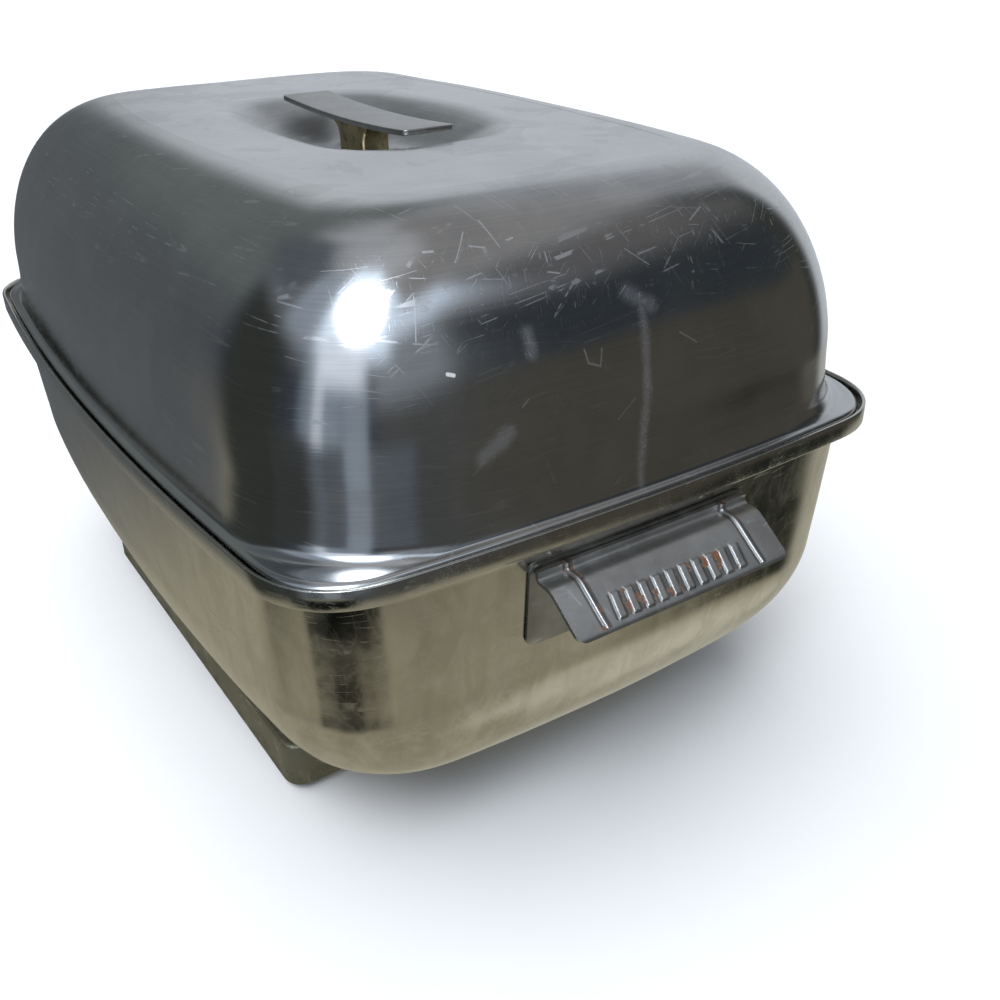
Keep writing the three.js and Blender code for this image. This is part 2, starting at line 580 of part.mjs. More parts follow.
function thermostat() {
  const { x, length, depth, height, neck, bore } = THERMOSTAT;
  const wall = BASE.halfWidth;
  const front = wall - SHEET - GAP - 10;
  const body = block([x - length / 2, front - depth, CONTROL_HEIGHT - height / 2],
    [x + length / 2, front, CONTROL_HEIGHT + height / 2]);
  const place = (geometry) => geometry.translate(x, 0, CONTROL_HEIGHT);
  const neckPart = place(alongY(neck, front - 1, wall + 3.4));
  const hollow = place(alongY(bore, front - 6, wall + 5));
  const nutBore = place(alongY(neck + GAP, wall - 1, wall + 5));
  const nut = cut(place(alongY(7.5, wall + GAP, wall + 2.8, 6)), nutBore);
  return [
    piece('thermostat_body', cut(join(body, neckPart), hollow), 'satinSteel'),
    piece('thermostat_nut', nut, 'satinSteel'),
  ];
}

// The turning parts: the shaft, and the knob with a raised pointer on its face.
function control() {
  const { x, shaft, depth } = THERMOSTAT;
  const wall = BASE.halfWidth;
  const [back, face] = [wall + KNOB.stand, wall + KNOB.stand + KNOB.thickness];
  const shaftEnd = face - 3;
  const { radius, thickness } = KNOB;
  const side = [[0, 0], [radius, 0], [radius, 3], [radius - 1.2, thickness - 1], [radius - 2.2, thickness],
    [0, thickness]];
  const grip = turned(side, 24).rotateX(-QUARTER_TURN).translate(0, back, 0);
  const pointer = block([-1, face - 1, 0], [1, face + 1, radius - 2]);
  const socket = alongY(shaft + GAP, back - 1, shaftEnd + GAP);
  const turnedUp = new THREE.Group();
  turnedUp.position.set(x, 0, CONTROL_HEIGHT);
  turnedUp.add(
    piece('control_knob', cut(join(grip, pointer), socket), 'blackPlastic'),
    piece('thermostat_shaft', alongY(shaft, wall - SHEET - depth / 2, shaftEnd), 'satinSteel'),
  );
  return turnedUp;
}

function pilotLamp() {
  const wall = BASE.halfWidth;
  const lens = turned([[0, 0], [LAMP.lens, 0], [LAMP.lens, 1.2], [LAMP.lens * 0.8, 2.8], [0, 3.6]], 16)
    .rotateX(-QUARTER_TURN).translate(LAMP.x, wall + GAP, CONTROL_HEIGHT);
  const lamp = alongY(LAMP.radius, wall - LAMP.length, wall, 12).translate(LAMP.x, 0, CONTROL_HEIGHT);
  return [piece('pilot_lens', lens, 'amber'), piece('pilot_lamp', lamp, 'blackPlastic')];
}

// Fibre-sleeved leads inside the base, from the inlet round to the thermostat, element and lamp.
function leads() {
  const standOff = 0.8;
  const pinEnd = -BASE.halfLength + INLET.depth + INLET.tail + standOff;
  const pinY = INLET.pinSpacing / 2;
  const thermostatEnd = THERMOSTAT.x - THERMOSTAT.length / 2 - standOff;
  const blockSide = TERMINAL.halfWidth + standOff;
  const lampEnd = BASE.halfWidth - LAMP.length - standOff;
  const routes = {
    lead_inlet_to_thermostat: [[pinEnd, pinY, 11], [pinEnd + 1.5, pinY + 0.4, 11], [-101.5, 14, 9],
      [-101.5, 28, 6], [-98, 60, 5], [-76, 96, 5], [0, 104, 6], [14, 104, 8], [thermostatEnd, 104, 8]],
    lead_thermostat_to_element: [[thermostatEnd, 90, 8], [14, 90, 7], [-50, 88, 4],
      [-82, 60, 4], [-85, 34, 10], [-85, 25, 13], [-85, blockSide, 13]],
    lead_inlet_to_element: [[pinEnd, -pinY, 11], [pinEnd + 1.5, -pinY - 0.4, 11], [-101.5, -14, 9],
      [-101, -25, 7], [-94, -34, 8], [-88, -30, 12], [-88, -25, 13], [-88, -blockSide, 13]],
    lamp_lead_live: [[LAMP.x + 2, lampEnd, 12], [-14, 95, 14], [6, 96, 14], [thermostatEnd, 97, 14]],
    lamp_lead_neutral: [[LAMP.x - 2, lampEnd, 12], [-36, 94, 13], [-76, 78, 12], [-93, 42, 12], [-94, 26, 15],
      [-94, blockSide, 16]],
  };
  return Object.entries(routes).map(([name, points]) =>
    piece(name, tube(points, name.startsWith('lamp') ? 1 : 1.5, 5, 16), 'glassFibre'));
}

function feet() {
  const { height, radius, counterbore, screwHole, bore } = FOOT;
  const [bottom, top, soft] = [-height, -GAP, 0.8];
  const side = [[0, bottom], [radius - soft, bottom], [radius, bottom + soft], [radius, top], [0, top]];
  const disc = turned(side, 12);
  const ring = cut(disc, upright(screwHole, -10, 10, 12), upright(bore, -10, bottom + counterbore));
  const headTop = bottom + counterbore - GAP;
  const [head, shank, tip] = [bore - 0.5, screwHole - 0.4, 2 * SHEET + 2];
  const screw = turned([[0, headTop - 1.6], [head - 0.6, headTop - 1.6], [head, headTop - 1], [head, headTop],
    [shank, headTop], [shank, tip], [0, tip]], 12);
  return FOOT_PLACES.flatMap(([x, y], i) => [
    piece(`foot_${i + 1}`, ring.clone().translate(x, y, 0), 'rubber'),
    piece(`foot_screw_${i + 1}`, screw.clone().translate(x, y, 0), 'satinSteel'),
  ]);
}

// ---------------------------------------------------------------- assembly

function level(height, ...children) {
  const group = new THREE.Group();
  group.position.z = height;
  group.add(...children);
  return group;
}

const smoker = new THREE.Group();
smoker.add(
  level(FOOT.height, baseHousing(), hotPlate(), bottomPlate(), reflector(), ...centreBolt(), heatingElement(),
    ...elementSupports(), terminalBlock(), ...inletSocket(), ...thermostat(), control(), ...pilotLamp(),
    ...leads(), ...feet()),
  level(LIP_TOP, panShell(), ...endHandles(), lidShell(), gripPlate(), gripStem(), ...gripFasteners()),
  level(PAN_FLOOR + SHEET + GAP, dripTray(), level(TRAY_FLOOR + GAP, wireRack(), ...rackLegs())),
);

export default smoker;
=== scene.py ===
"""The looks of a tabletop electric smoker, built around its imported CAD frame.

Sizes are in millimetres and turned to metres as each mesh is made. Heights called `rise` and `drop`
are measured from the pan's lip, and heights in the base from the base's lower edge.
"""

import math

import bmesh
import bpy
import numpy as np
from mathutils import Matrix, Vector, noise


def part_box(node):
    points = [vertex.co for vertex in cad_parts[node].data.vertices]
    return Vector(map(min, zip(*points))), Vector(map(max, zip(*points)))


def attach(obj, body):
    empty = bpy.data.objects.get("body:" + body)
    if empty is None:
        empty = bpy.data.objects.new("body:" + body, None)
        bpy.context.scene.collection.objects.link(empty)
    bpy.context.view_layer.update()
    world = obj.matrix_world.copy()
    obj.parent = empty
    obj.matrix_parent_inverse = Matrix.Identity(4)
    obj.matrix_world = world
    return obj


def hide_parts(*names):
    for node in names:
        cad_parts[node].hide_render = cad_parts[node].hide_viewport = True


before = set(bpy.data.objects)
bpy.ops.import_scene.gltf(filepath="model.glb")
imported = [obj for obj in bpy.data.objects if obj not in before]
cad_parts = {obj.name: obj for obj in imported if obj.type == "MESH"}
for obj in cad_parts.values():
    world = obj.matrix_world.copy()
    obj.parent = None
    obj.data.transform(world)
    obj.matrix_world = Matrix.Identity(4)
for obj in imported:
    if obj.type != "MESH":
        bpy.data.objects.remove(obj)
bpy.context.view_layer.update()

MM = 0.001
QUARTER = math.pi / 2
LIP_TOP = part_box("pan_shell")[1].z / MM
BASE_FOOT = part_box("base_housing")[0].z / MM
SHEET = 1.2

# ------------------------------------------------------------------ driving sizes

RIM = {"half": (208.5, 141.0), "corner": 31.0, "bow": (6.5, 11.7)}
LIP = {"height": 8.2, "thickness": 1.5, "round": 0.55}
PAN = {"depth": 128.0, "wall_inset": 6.0, "draft": 0.06, "corner": 37.5, "spread": 50.0, "floor_rise": 64.0}
LID = {"skirt_inset": 3.2, "skirt_drop": 6.7, "roll": 2.2, "wall_inset": 8.8, "wall_height": 20.0,
       "rise": 104.5, "spread": 57.0, "corner": 50.0, "corner_loss": 0.57}
DISH = {"inset": 33.0, "corner": 62.0, "edge": 0.45, "floor": 0.14, "depth": 17.0}
BASE = {"half": (125.0, 120.0), "corner": 9.0, "height": 22.0, "flange": 14.0}
GRIP = {"half": (61.5, 12.8), "corner": 3.0, "thickness": 2.4, "top": 106.0, "upturn": 2.2}
STEM = {"half_foot": 12.4, "half_width": 7.0, "flare": 28.0, "tip": 0.5}
HANDLE = {"half_width": 51.0, "sheet": 1.6, "top": 17.0, "shelf_drop": 20.5, "shelf_end": 9.6,
          "reach": 27.0, "drop": 33.0, "corner": 4.0}
PLATE = {"half_width": 52.6, "top": 15.5, "bottom": 52.0, "thickness": 1.2, "corner": 4.0}
TRAY = {"half": (150.0, 92.0), "corner": 25.0, "depth": 12.0, "sheet": 1.0, "foot": 9.0}
RACK = {"half": (168.0, 108.0), "corner": 20.0, "frame": 2.0, "bar": 1.4, "bars": 13, "leg": 28.0}
KNOB = {"radius": 9.5, "thickness": 12.0}


# ------------------------------------------------------------------ mesh helpers

def clamp(number):
    """The number, or the nearer of 0 and 1 if it lies outside them."""
    return min(max(number, 0), 1)


def middle_of(low, high):
    """The middle of a CAD box, in millimetres."""
    return [(a + b) / 2 / MM for a, b in zip(low, high)]


def ring_at(outline, height):
    """Puts a ring of (x, y) points at a height."""
    return np.column_stack([outline, np.full(len(outline), height)])


def build(name, vertices, faces, crease=40.0):
    """A smooth-shaded mesh object from millimetre points, sharp where faces meet at over `crease` degrees."""
    mesh = bpy.data.meshes.new(name)
    mesh.from_pydata([tuple(np.asarray(v) * MM) for v in vertices], [], faces)
    work = bmesh.new()
    work.from_mesh(mesh)
    bmesh.ops.remove_doubles(work, verts=work.verts, dist=1e-7)
    bmesh.ops.recalc_face_normals(work, faces=work.faces)
    work.to_mesh(mesh)
    work.free()
    mesh.shade_smooth()
    mesh.set_sharp_from_angle(angle=math.radians(crease))
    obj = bpy.data.objects.new(name, mesh)
    bpy.context.scene.collection.objects.link(obj)
    return obj


def skin(name, rings, crease=40.0, closed=False):
    """Joins rings of equal length into one surface, capped at both ends unless `closed`."""
    count = len(rings[0])
    vertices = [point for ring in rings for point in ring]
    faces = []
    pairs = list(range(len(rings) - 1)) + ([len(rings) - 1] if closed else [])
    for i in pairs:
        j = (i + 1) % len(rings)
        for k in range(count):
            n = (k + 1) % count
            faces.append((i * count + k, i * count + n, j * count + n, j * count + k))
    if not closed:
        faces.append(tuple(range(count))[::-1])
        faces.append(tuple(range((len(rings) - 1) * count, len(rings) * count)))
    return build(name, vertices, faces, crease)


def modifier(obj, kind, **settings):
    added = obj.modifiers.new(kind.title(), kind)
    for key, value in settings.items():
        setattr(added, key, value)
    return added


def bevel(obj, width, segments=3, angle=35.0):
    return modifier(obj, "BEVEL", width=width * MM, segments=segments, limit_method="ANGLE",
                    angle_limit=math.radians(angle), harden_normals=True)


def applied(obj):
    """Makes an object's modifiers part of its mesh."""
    evaluated = obj.evaluated_get(bpy.context.evaluated_depsgraph_get())
    mesh = bpy.data.meshes.new_from_object(evaluated)
    obj.modifiers.clear()
    obj.data = mesh
    return obj


def cut_out(obj, *cutters):
    for cutter in cutters:
        modifier(obj, "BOOLEAN", object=cutter, operation="DIFFERENCE", solver="EXACT")
    applied(obj)
    for cutter in cutters:
        bpy.data.objects.remove(cutter)
    return obj


def extruded(name, outline, low, high, plane="XY", crease=40.0):
    """A flat outline in one plane, extruded along the third axis from low to high."""
    place = {
        "XY": lambda p, h: (p[0], p[1], h),
        "XZ": lambda p, h: (p[0], h, p[1]),
        "YZ": lambda p, h: (h, p[0], p[1]),
    }[plane]
    return skin(name, [[place(p, low) for p in outline], [place(p, high) for p in outline]], crease)


def lathe(name, profile, sides=64, axis="Z", place=(0, 0, 0), crease=40.0, flute=None):
    """A turned piece from (radius, height) pairs; `flute` may change the radius with the angle."""
    rings = []
    for radius, height in profile:
        ring = []
        for angle in np.linspace(0, 2 * math.pi, sides, endpoint=False):
            r = radius * (flute(angle, height) if flute else 1)
            point = (r * math.cos(angle), r * math.sin(angle), height)
            if axis == "Y":
                point = (point[0], point[2], point[1])
            ring.append(np.array(point) + np.array(place))
        rings.append(ring)
    return skin(name, rings, crease)


def wire(name, path, radius, sides=12, closed=False):
    """A round wire along a path, its rings kept square to the path with no twist."""
    path = np.array(path, float)
    ahead = np.roll(path, -1, 0) - np.roll(path, 1, 0)
    if not closed:
        ahead[0], ahead[-1] = path[1] - path[0], path[-1] - path[-2]
    ahead /= np.linalg.norm(ahead, axis=1)[:, None]
    side = np.cross(ahead[0], (0.0, 0.0, 1.0))
    if np.linalg.norm(side) < 1e-6:
        side = np.array((1.0, 0.0, 0.0))
    rings = []
    for centre, tangent in zip(path, ahead):
        side = side - tangent * side.dot(tangent)
        side /= np.linalg.norm(side)
        other = np.cross(tangent, side)
        angles = np.linspace(0, 2 * math.pi, sides, endpoint=False)
        rings.append([centre + radius * (math.cos(a) * side + math.sin(a) * other) for a in angles])
    return skin(name, rings, crease=60.0, closed=closed)


def merge(name, *parts):
    """Joins finished meshes into one object."""
    work = bmesh.new()
    for part in parts:
        work.from_mesh(part.data)
        bpy.data.objects.remove(part)
    mesh = bpy.data.meshes.new(name)
    work.to_mesh(mesh)
    work.free()
    obj = bpy.data.objects.new(name, mesh)
    bpy.context.scene.collection.objects.link(obj)
    return obj


# ------------------------------------------------------------------ drawn shells

CORNER_POINTS = 28
SIDE_POINTS = 22
CORNER_SIGNS = ((1, 1), (-1, 1), (-1, -1), (1, -1), (1, 1))


def eased_corner(count):
    """A unit corner from (1, 0) to (0, 1) whose curvature grows from nothing and fades again."""
    t = np.linspace(0, 1, 40 * count + 1)
    heading = QUARTER * t * t * (3 - 2 * t)
    steps = np.stack([-np.sin(heading), np.cos(heading)], 1)
    path = np.cumsum(steps, 0)
    path -= path[0]
    path /= path[-1, 1]
    return (path + (1, 0))[::40]


UNIT_CORNER = eased_corner(CORNER_POINTS)
# an eased corner starts further back than the arc it stands for, so that both have the same middle
CORNER_REACH = (1 - math.sqrt(0.5)) / (1 - UNIT_CORNER[CORNER_POINTS // 2][0])


def outline_ring(half, corner, bow=(0.0, 0.0), inset=0.0, shrink=1.0):
    """A rounded rectangle whose ends and sides bow outwards, as a closed ring of (x, y) points."""
    a, b = half[0] - inset, half[1] - inset
    reach = min(corner * CORNER_REACH, 0.98 * min(a, b))
    points = []
    for quarter in range(4):
        (sx, sy), (nx, ny) = CORNER_SIGNS[quarter], CORNER_SIGNS[quarter + 1]
        turn = quarter * QUARTER
        spin = np.array([[math.cos(turn), math.sin(turn)], [-math.sin(turn), math.cos(turn)]])
        arc = UNIT_CORNER @ spin * reach
        start = np.array([sx * (a - reach), sy * (b - reach)])
        end = np.array([nx * (a - reach), ny * (b - reach)])
        points.extend(start + arc)
        for t in np.arange(1, SIDE_POINTS) / SIDE_POINTS:
            eased = t - 0.08 * math.sin(2 * math.pi * t)
            points.append(start + (end - start) * eased + arc[-1])
    x, y = np.array(points).T
    bowed_x = x + bow[0] * (1 - (y / b) ** 2) * x / a
    bowed_y = y + bow[1] * (1 - (x / a) ** 2) * y / b
    return np.stack([bowed_x, bowed_y], 1) * shrink


def smooth_sections(keys, steps):
    """Runs a Catmull-Rom curve through (inset, height, corner, shrink) keys, with `steps` to each span."""
    keys = np.array(keys, float)
    padded = np.vstack([2 * keys[0] - keys[1], keys, 2 * keys[-1] - keys[-2]])
    out = []
    for i in range(1, len(padded) - 2):
        p0, p1, p2, p3 = padded[i - 1:i + 3]
        for t in np.arange(steps) / steps:
            out.append(0.5 * (2 * p1 + (p2 - p0) * t + (2 * p0 - 5 * p1 + 4 * p2 - p3) * t ** 2
                              + (3 * p1 - p0 - 3 * p2 + p3) * t ** 3))
    return out + [padded[-2]]


def drawn_shell(name, outline, sections, base_height, crease=40.0):
    """A shell from a run of (inset, height, corner, shrink) sections of one outline."""
    rings = []
    for inset, height, corner, shrink in sections:
        ring = outline_ring(outline["half"], corner, outline.get("bow", (0, 0)), inset, shrink)
        rings.append(ring_at(ring, base_height + height))
    return skin(name, rings, crease)


# without a seed, noise_vector starts from another place in every session
WAVER_SEED = 1


def waver(obj, size, amount, low, high):
    """Lets pressed sheet wander between two heights, so that its reflections swim as on thin metal."""
    noise.seed_set(WAVER_SEED)
    for vertex in obj.data.vertices:
        x, y, z = vertex.co / MM
        fade = clamp((z - low) / 14) * clamp((high - z) / 14) * clamp((math.hypot(x, y) - 25) / 40)
        vertex.co += noise.noise_vector(vertex.co / (size * MM)) * amount * MM * fade


# ------------------------------------------------------------------ pan

def pan_sections():
    """The pan from its floor's middle out and up to the lip, and back down inside."""
    depth, wall, rise, corner = PAN["depth"], PAN["wall_inset"], PAN["floor_rise"], PAN["corner"]
    height, thick, soft = LIP["height"], LIP["thickness"], LIP["round"]
    low = wall + PAN["draft"] * (depth - rise - height)
    flat = low + PAN["spread"]
    lip_corner = RIM["corner"]

    def bowl(inside):
        keys = [(flat, inside - depth, corner, 0.02), (flat, inside - depth, corner, 0.5),
                (flat, inside - depth, corner, 0.93)]
        for angle in np.radians(np.arange(0, 91, 9)):
            keys.append((flat - (PAN["spread"] - inside) * math.sin(angle),
                         rise - depth - (rise - inside) * math.cos(angle), corner, 1))
        for share in (0.35, 0.7):
            keys.append((low + inside + (wall - low) * share,
                         (rise - depth) * (1 - share) - (height + 2) * share, corner, 1))
        return keys

    ledge = SHEET - height
    outer = smooth_sections(bowl(0) + [(wall, -height - 1.6, corner, 1)], 4)
    under = smooth_sections([(wall, -height - 1.6, corner, 1), (5.6, -height - 0.5, corner - 1, 1),
                             (4.6, -height, corner - 1.5, 1)], 4)
    turns = np.radians((0, 30, 60, 90))
    arc = [(soft * (1 - math.sin(a)), -height + soft * (1 - math.cos(a)), lip_corner, 1) for a in turns]
    top = [(soft * (1 - math.cos(a)), -soft + soft * math.sin(a), lip_corner, 1) for a in turns]
    back = [(thick - inset, level, lip_corner - thick, 1) for inset, level, _, _ in reversed(top)]
    inner = [(thick, ledge + 0.6, lip_corner - thick, 1), (thick + 0.6, ledge, lip_corner - 2, 1),
             (wall - 0.6, ledge, corner - 1.5, 1), (wall + 0.8, ledge - 0.5, corner, 1),
             (wall + SHEET, ledge - 1.8, corner, 1)]
    inside = smooth_sections(list(reversed(bowl(SHEET))), 4)
    return outer + under + arc + top + back + inner + inside


def pan_body():
    obj = drawn_shell("pan_body", RIM, pan_sections(), LIP_TOP)
    waver(obj, 46, 0.35, LIP_TOP - PAN["depth"] + 6, LIP_TOP - LIP["height"])
    return obj


def end_wall(drop):
    """How far out the middle of the pan's end wall stands at a drop below the lip."""
    return RIM["half"][0] + RIM["bow"][0] - PAN["wall_inset"] - PAN["draft"] * (drop - LIP["height"])


def wall_bow(y):
    """How far the end wall falls back from its middle, at y."""
    return RIM["bow"][0] * (y / (RIM["half"][1] - PAN["wall_inset"])) ** 2


def handle_plate(name, side):
    """The flat plate behind a handle. It hugs the slightly bowed end wall."""
    middle = (PLATE["top"] + PLATE["bottom"]) / 2
    ring = outline_ring((PLATE["half_width"], (PLATE["bottom"] - PLATE["top"]) / 2), PLATE["corner"])
    back = [(0.02, 0), (0.5, 0), (0.9, 0), (1, 0)]
    edge_and_front = [(1, 0.5), (0.997, 1), (0.99, 1.2), (0.9, 1.2), (0.5, 1.2), (0.02, 1.2)]
    rings = []
    for shrink, proud in back + edge_and_front:
        points = []
        for y, z in ring * shrink:
            drop = middle - z
            points.append((side * (end_wall(drop) + 0.25 + proud - wall_bow(y)), side * y, LIP_TOP - drop))
        rings.append(points)
    return skin(name, rings)


# ------------------------------------------------------------------ end handles

# raised work on the sloping grip: `half` is half a crest's width and `side` the width of its flank
RIB = {"place": 38.0, "half": 0.35, "side": 0.75, "height": 0.8}
BAR = {"count": 10, "pitch": 6.5, "half": 1.35, "side": 0.6, "height": 0.75, "slant": 0.16}


def handle_profile():
    """The handle's upper face from tab over shelf and down the slope, as (out, drop) points."""
    foot = end_wall(HANDLE["shelf_drop"]) + 0.6 + PLATE["thickness"]
    sheet, shelf = HANDLE["sheet"], HANDLE["shelf_drop"]
    edge_out, edge_drop = foot + HANDLE["reach"] - 0.3, HANDLE["drop"] + 0.2
    tab = [(foot + sheet + 0.2, HANDLE["top"]), (foot + sheet, shelf - 2.0),
           (foot + sheet + 0.3, shelf - 0.8), (foot + sheet + 1.4, shelf - 0.1)]
    level = [(foot + 5, shelf), (foot + 8, shelf + 0.25)]
    slope = [(foot + 10.2, shelf + 1.1), (foot + 12.6, shelf + 2.6),
             (foot + 17, shelf + 5.7), (foot + 22, shelf + 9.2)]
    edge = [(edge_out - 1.8, edge_drop - 1.6), (edge_out - 0.5, edge_drop - 0.5), (edge_out, edge_drop + 0.7)]
    keys = [(out, drop, 0, 0) for out, drop in tab + level + slope + edge]
    return np.array(smooth_sections(keys, 8))[:, :2]


def plateau(distance, half, soft):
    """1 within `half` of the middle, falling smoothly to 0 over `soft`."""
    t = min(max((half + soft - abs(distance)) / soft, 0.0), 1.0)
    return t * t * (3 - 2 * t)


def grip_relief(y, along, start, end):
    """Raised work on the handle: two ribs from tab to edge, and plain slanted bars between them."""
    height = 0.0
    for side in (-1, 1):
        if along < end - 2.0:
            crest = plateau(y - side * RIB["place"], RIB["half"], RIB["side"])
            height = max(height, RIB["height"] * crest)
    middle, half = (start + end) / 2 + 0.6, (end - start) * 0.25
    for i in range(BAR["count"]):
        centre = (i - (BAR["count"] - 1) / 2) * BAR["pitch"] - BAR["slant"] * (along - middle)
        bar = plateau(y - centre, BAR["half"], BAR["side"]) * plateau(along - middle, half, 1.0)
        height = max(height, BAR["height"] * bar)
    return height


def end_handle(name, side):
    """The bent sheet handle, with its ribs and bars raised out of the sheet."""
    profile = handle_profile()
    steps = np.diff(profile, axis=0)
    along = np.concatenate([[0], np.cumsum(np.hypot(*steps.T))])
    tangent = np.gradient(profile, axis=0)
    tangent /= np.linalg.norm(tangent, axis=1)[:, None]
    # (out, drop) square to the sheet, on its upper side
    upward = np.column_stack([tangent[:, 1], -tangent[:, 0]])
    total, corner = along[-1], HANDLE["corner"]
    start = along[np.searchsorted(profile[:, 0], profile[0, 0] + 10.5)]
    rows, creases = [], []
    for (out, drop), s, (up_x, up_drop) in zip(profile, along, upward):
        past = max(s - (total - corner), 0.0)
        half = HANDLE["half_width"] - corner + math.sqrt(max(corner ** 2 - past ** 2, 0.0))
        across = np.linspace(-half, half, 341)
        lifts = np.array([grip_relief(y, s, start, total) for y in across])
        rows.append([(out + up_x * lift, y, drop + up_drop * lift) for y, lift in zip(across, lifts)])
        near = np.max([np.roll(lifts, shift) for shift in range(-5, 6)], axis=0)
        creases.extend(near - lifts)
    vertices = [(side * x, side * y, LIP_TOP - z) for row in rows for x, y, z in row]
    width = len(rows[0])
    faces = [(i * width + j, i * width + j + 1, (i + 1) * width + j + 1, (i + 1) * width + j)
             for i in range(len(rows) - 1) for j in range(width - 1)]
    obj = build(name, vertices, faces, crease=50.0)
    # how close each point lies to the foot of raised work, for the rust and the painted shade there
    obj.data.attributes.new("crease", "FLOAT", "POINT").data.foreach_set("value", creases)
    if obj.data.polygons[0].normal.dot(Vector((side, 0, 1))) < 0:
        obj.data.flip_normals()
    modifier(obj, "SOLIDIFY", thickness=HANDLE["sheet"] * MM, offset=-1)
    bevel(obj, 0.3, segments=2, angle=60.0)
    return applied(obj)


# ------------------------------------------------------------------ lid

def lid_corner(inset):
    """The plan corner's radius, which shrinks as the dome draws in."""
    return LID["corner"] - LID["corner_loss"] * (inset - LID["wall_inset"])


def lid_dome(inside):
    """The dome from the wall's top over the shoulder to the dish, `inside` mm below the outer face."""
    wall, spread, rise = LID["wall_inset"], LID["spread"], LID["rise"]
    keys = []
    for angle in np.radians(np.arange(0, 91, 7.5)):
        inset = wall + spread - (spread - inside) * math.cos(angle)
        height = LID["wall_height"] + (rise - LID["wall_height"] - inside) * math.sin(angle)
        keys.append((inset, height, lid_corner(inset), 1))
    return keys + lid_top(wall + spread, rise - inside)


def lid_top(inset, height):
    """The lid's level top and the dish pressed into it, from the shoulder inwards."""
    brink = np.array((DISH["inset"], height, DISH["corner"], DISH["edge"]))
    shoulder = np.array((inset, height, lid_corner(inset), 1))
    keys = [shoulder + (brink - shoulder) * share for share in (0.05, 0.12, 0.24, 0.4, 0.58, 0.76, 0.9)]
    for t in np.linspace(0, 1, 9):
        fall = t * t * (3 - 2 * t)
        shrink = DISH["edge"] + (DISH["floor"] - DISH["edge"]) * t
        keys.append((DISH["inset"], height - DISH["depth"] * fall, DISH["corner"], shrink))
    for shrink in (0.11, 0.08, 0.05, 0.01):
        keys.append((DISH["inset"], height - DISH["depth"], DISH["corner"], shrink))
    return keys


def lid_sections():
    """The lid from the dish's middle, down inside to the skirt and back up outside."""
    skirt, roll, wall, full = LID["skirt_inset"], LID["roll"], LID["wall_inset"], LID["corner"]
    tight = RIM["corner"] - skirt
    rolled = [(skirt + roll * (1 - math.cos(a)), -roll + roll * math.sin(a), tight + 2.0 * math.sin(a), 1)
              for a in np.radians((0, 20, 40, 60, 80))]
    flange = [(wall - 2.9, 0.3, full - 12, 1), (wall - 2.1, 1.5, full - 5, 1), (wall - 1.4, 3.9, full - 1, 1),
              (wall - 0.85, 8, full, 1), (wall - 0.4, 13.5, full, 1)]
    outer = smooth_sections(rolled + flange + lid_dome(0), 4)
    start = [(skirt, -LID["skirt_drop"] + 0.3, tight, 1), (skirt, -roll - 1, tight, 1)]
    under = [(wall - 0.4 + SHEET, 13.5, full, 1), (wall - 0.85 + SHEET, 8, full, 1),
             (wall - 0.3, 3.6, full - 1, 1), (wall - 1.1, 0.8, full - 5, 1), (wall - 2.3, -0.7, full - 12, 1),
             (skirt + roll, -SHEET, tight + 1, 1), (skirt + SHEET, -roll, tight, 1),
             (skirt + SHEET, -LID["skirt_drop"], tight, 1)]
    inner = smooth_sections(list(reversed(lid_dome(SHEET))), 3)
    return inner + under + start + outer


def lid_body():
    obj = drawn_shell("lid_body", RIM, lid_sections(), LIP_TOP)
    waver(obj, 60, 0.45, LIP_TOP + 4, LIP_TOP + 2 * LID["rise"])
    return obj


def grip_sag(x):
    """How far the grip has turned up, at x from its middle."""
    return GRIP["upturn"] * (x / GRIP["half"][0]) ** 2


def grip_top():
    """The lid's grip: a thin bar with soft edges, rounded in plan and turned up a little at both ends."""
    (length, width), thick, corner = GRIP["half"], GRIP["thickness"], GRIP["corner"]
    soft = 0.7
    loop = []
    for sx, sz, start in ((1, 1, 0), (-1, 1, 90), (-1, -1, 180), (1, -1, 270)):
        for angle in np.radians(np.linspace(start, start + 90, 6)):
            loop.append((sx, sz, math.cos(angle), math.sin(angle)))
    stations = [(-length + corner * (1 - math.cos(a)), math.sin(a)) for a in np.linspace(0.15, QUARTER, 8)]
    mirrored = [(-x, fullness) for x, fullness in reversed(stations)]
    stations += [(x, 1.0) for x in np.linspace(-length + corner, length - corner, 41)[1:-1]]
    stations += mirrored
    rings = []
    for x, fullness in stations:
        half = width - corner * (1 - fullness)
        middle = LIP_TOP + GRIP["top"] - thick / 2 + grip_sag(x)
        end_soft = soft * min(1.0, (length - abs(x)) / 0.6)
        tall = thick / 2 - (soft - end_soft) * 0.6
        rings.append([(x, sx * (half - soft) + soft * c, middle + sz * (tall - soft) + soft * s)
                      for sx, sz, c, s in loop])
    return skin("grip_top", rings, crease=50.0)


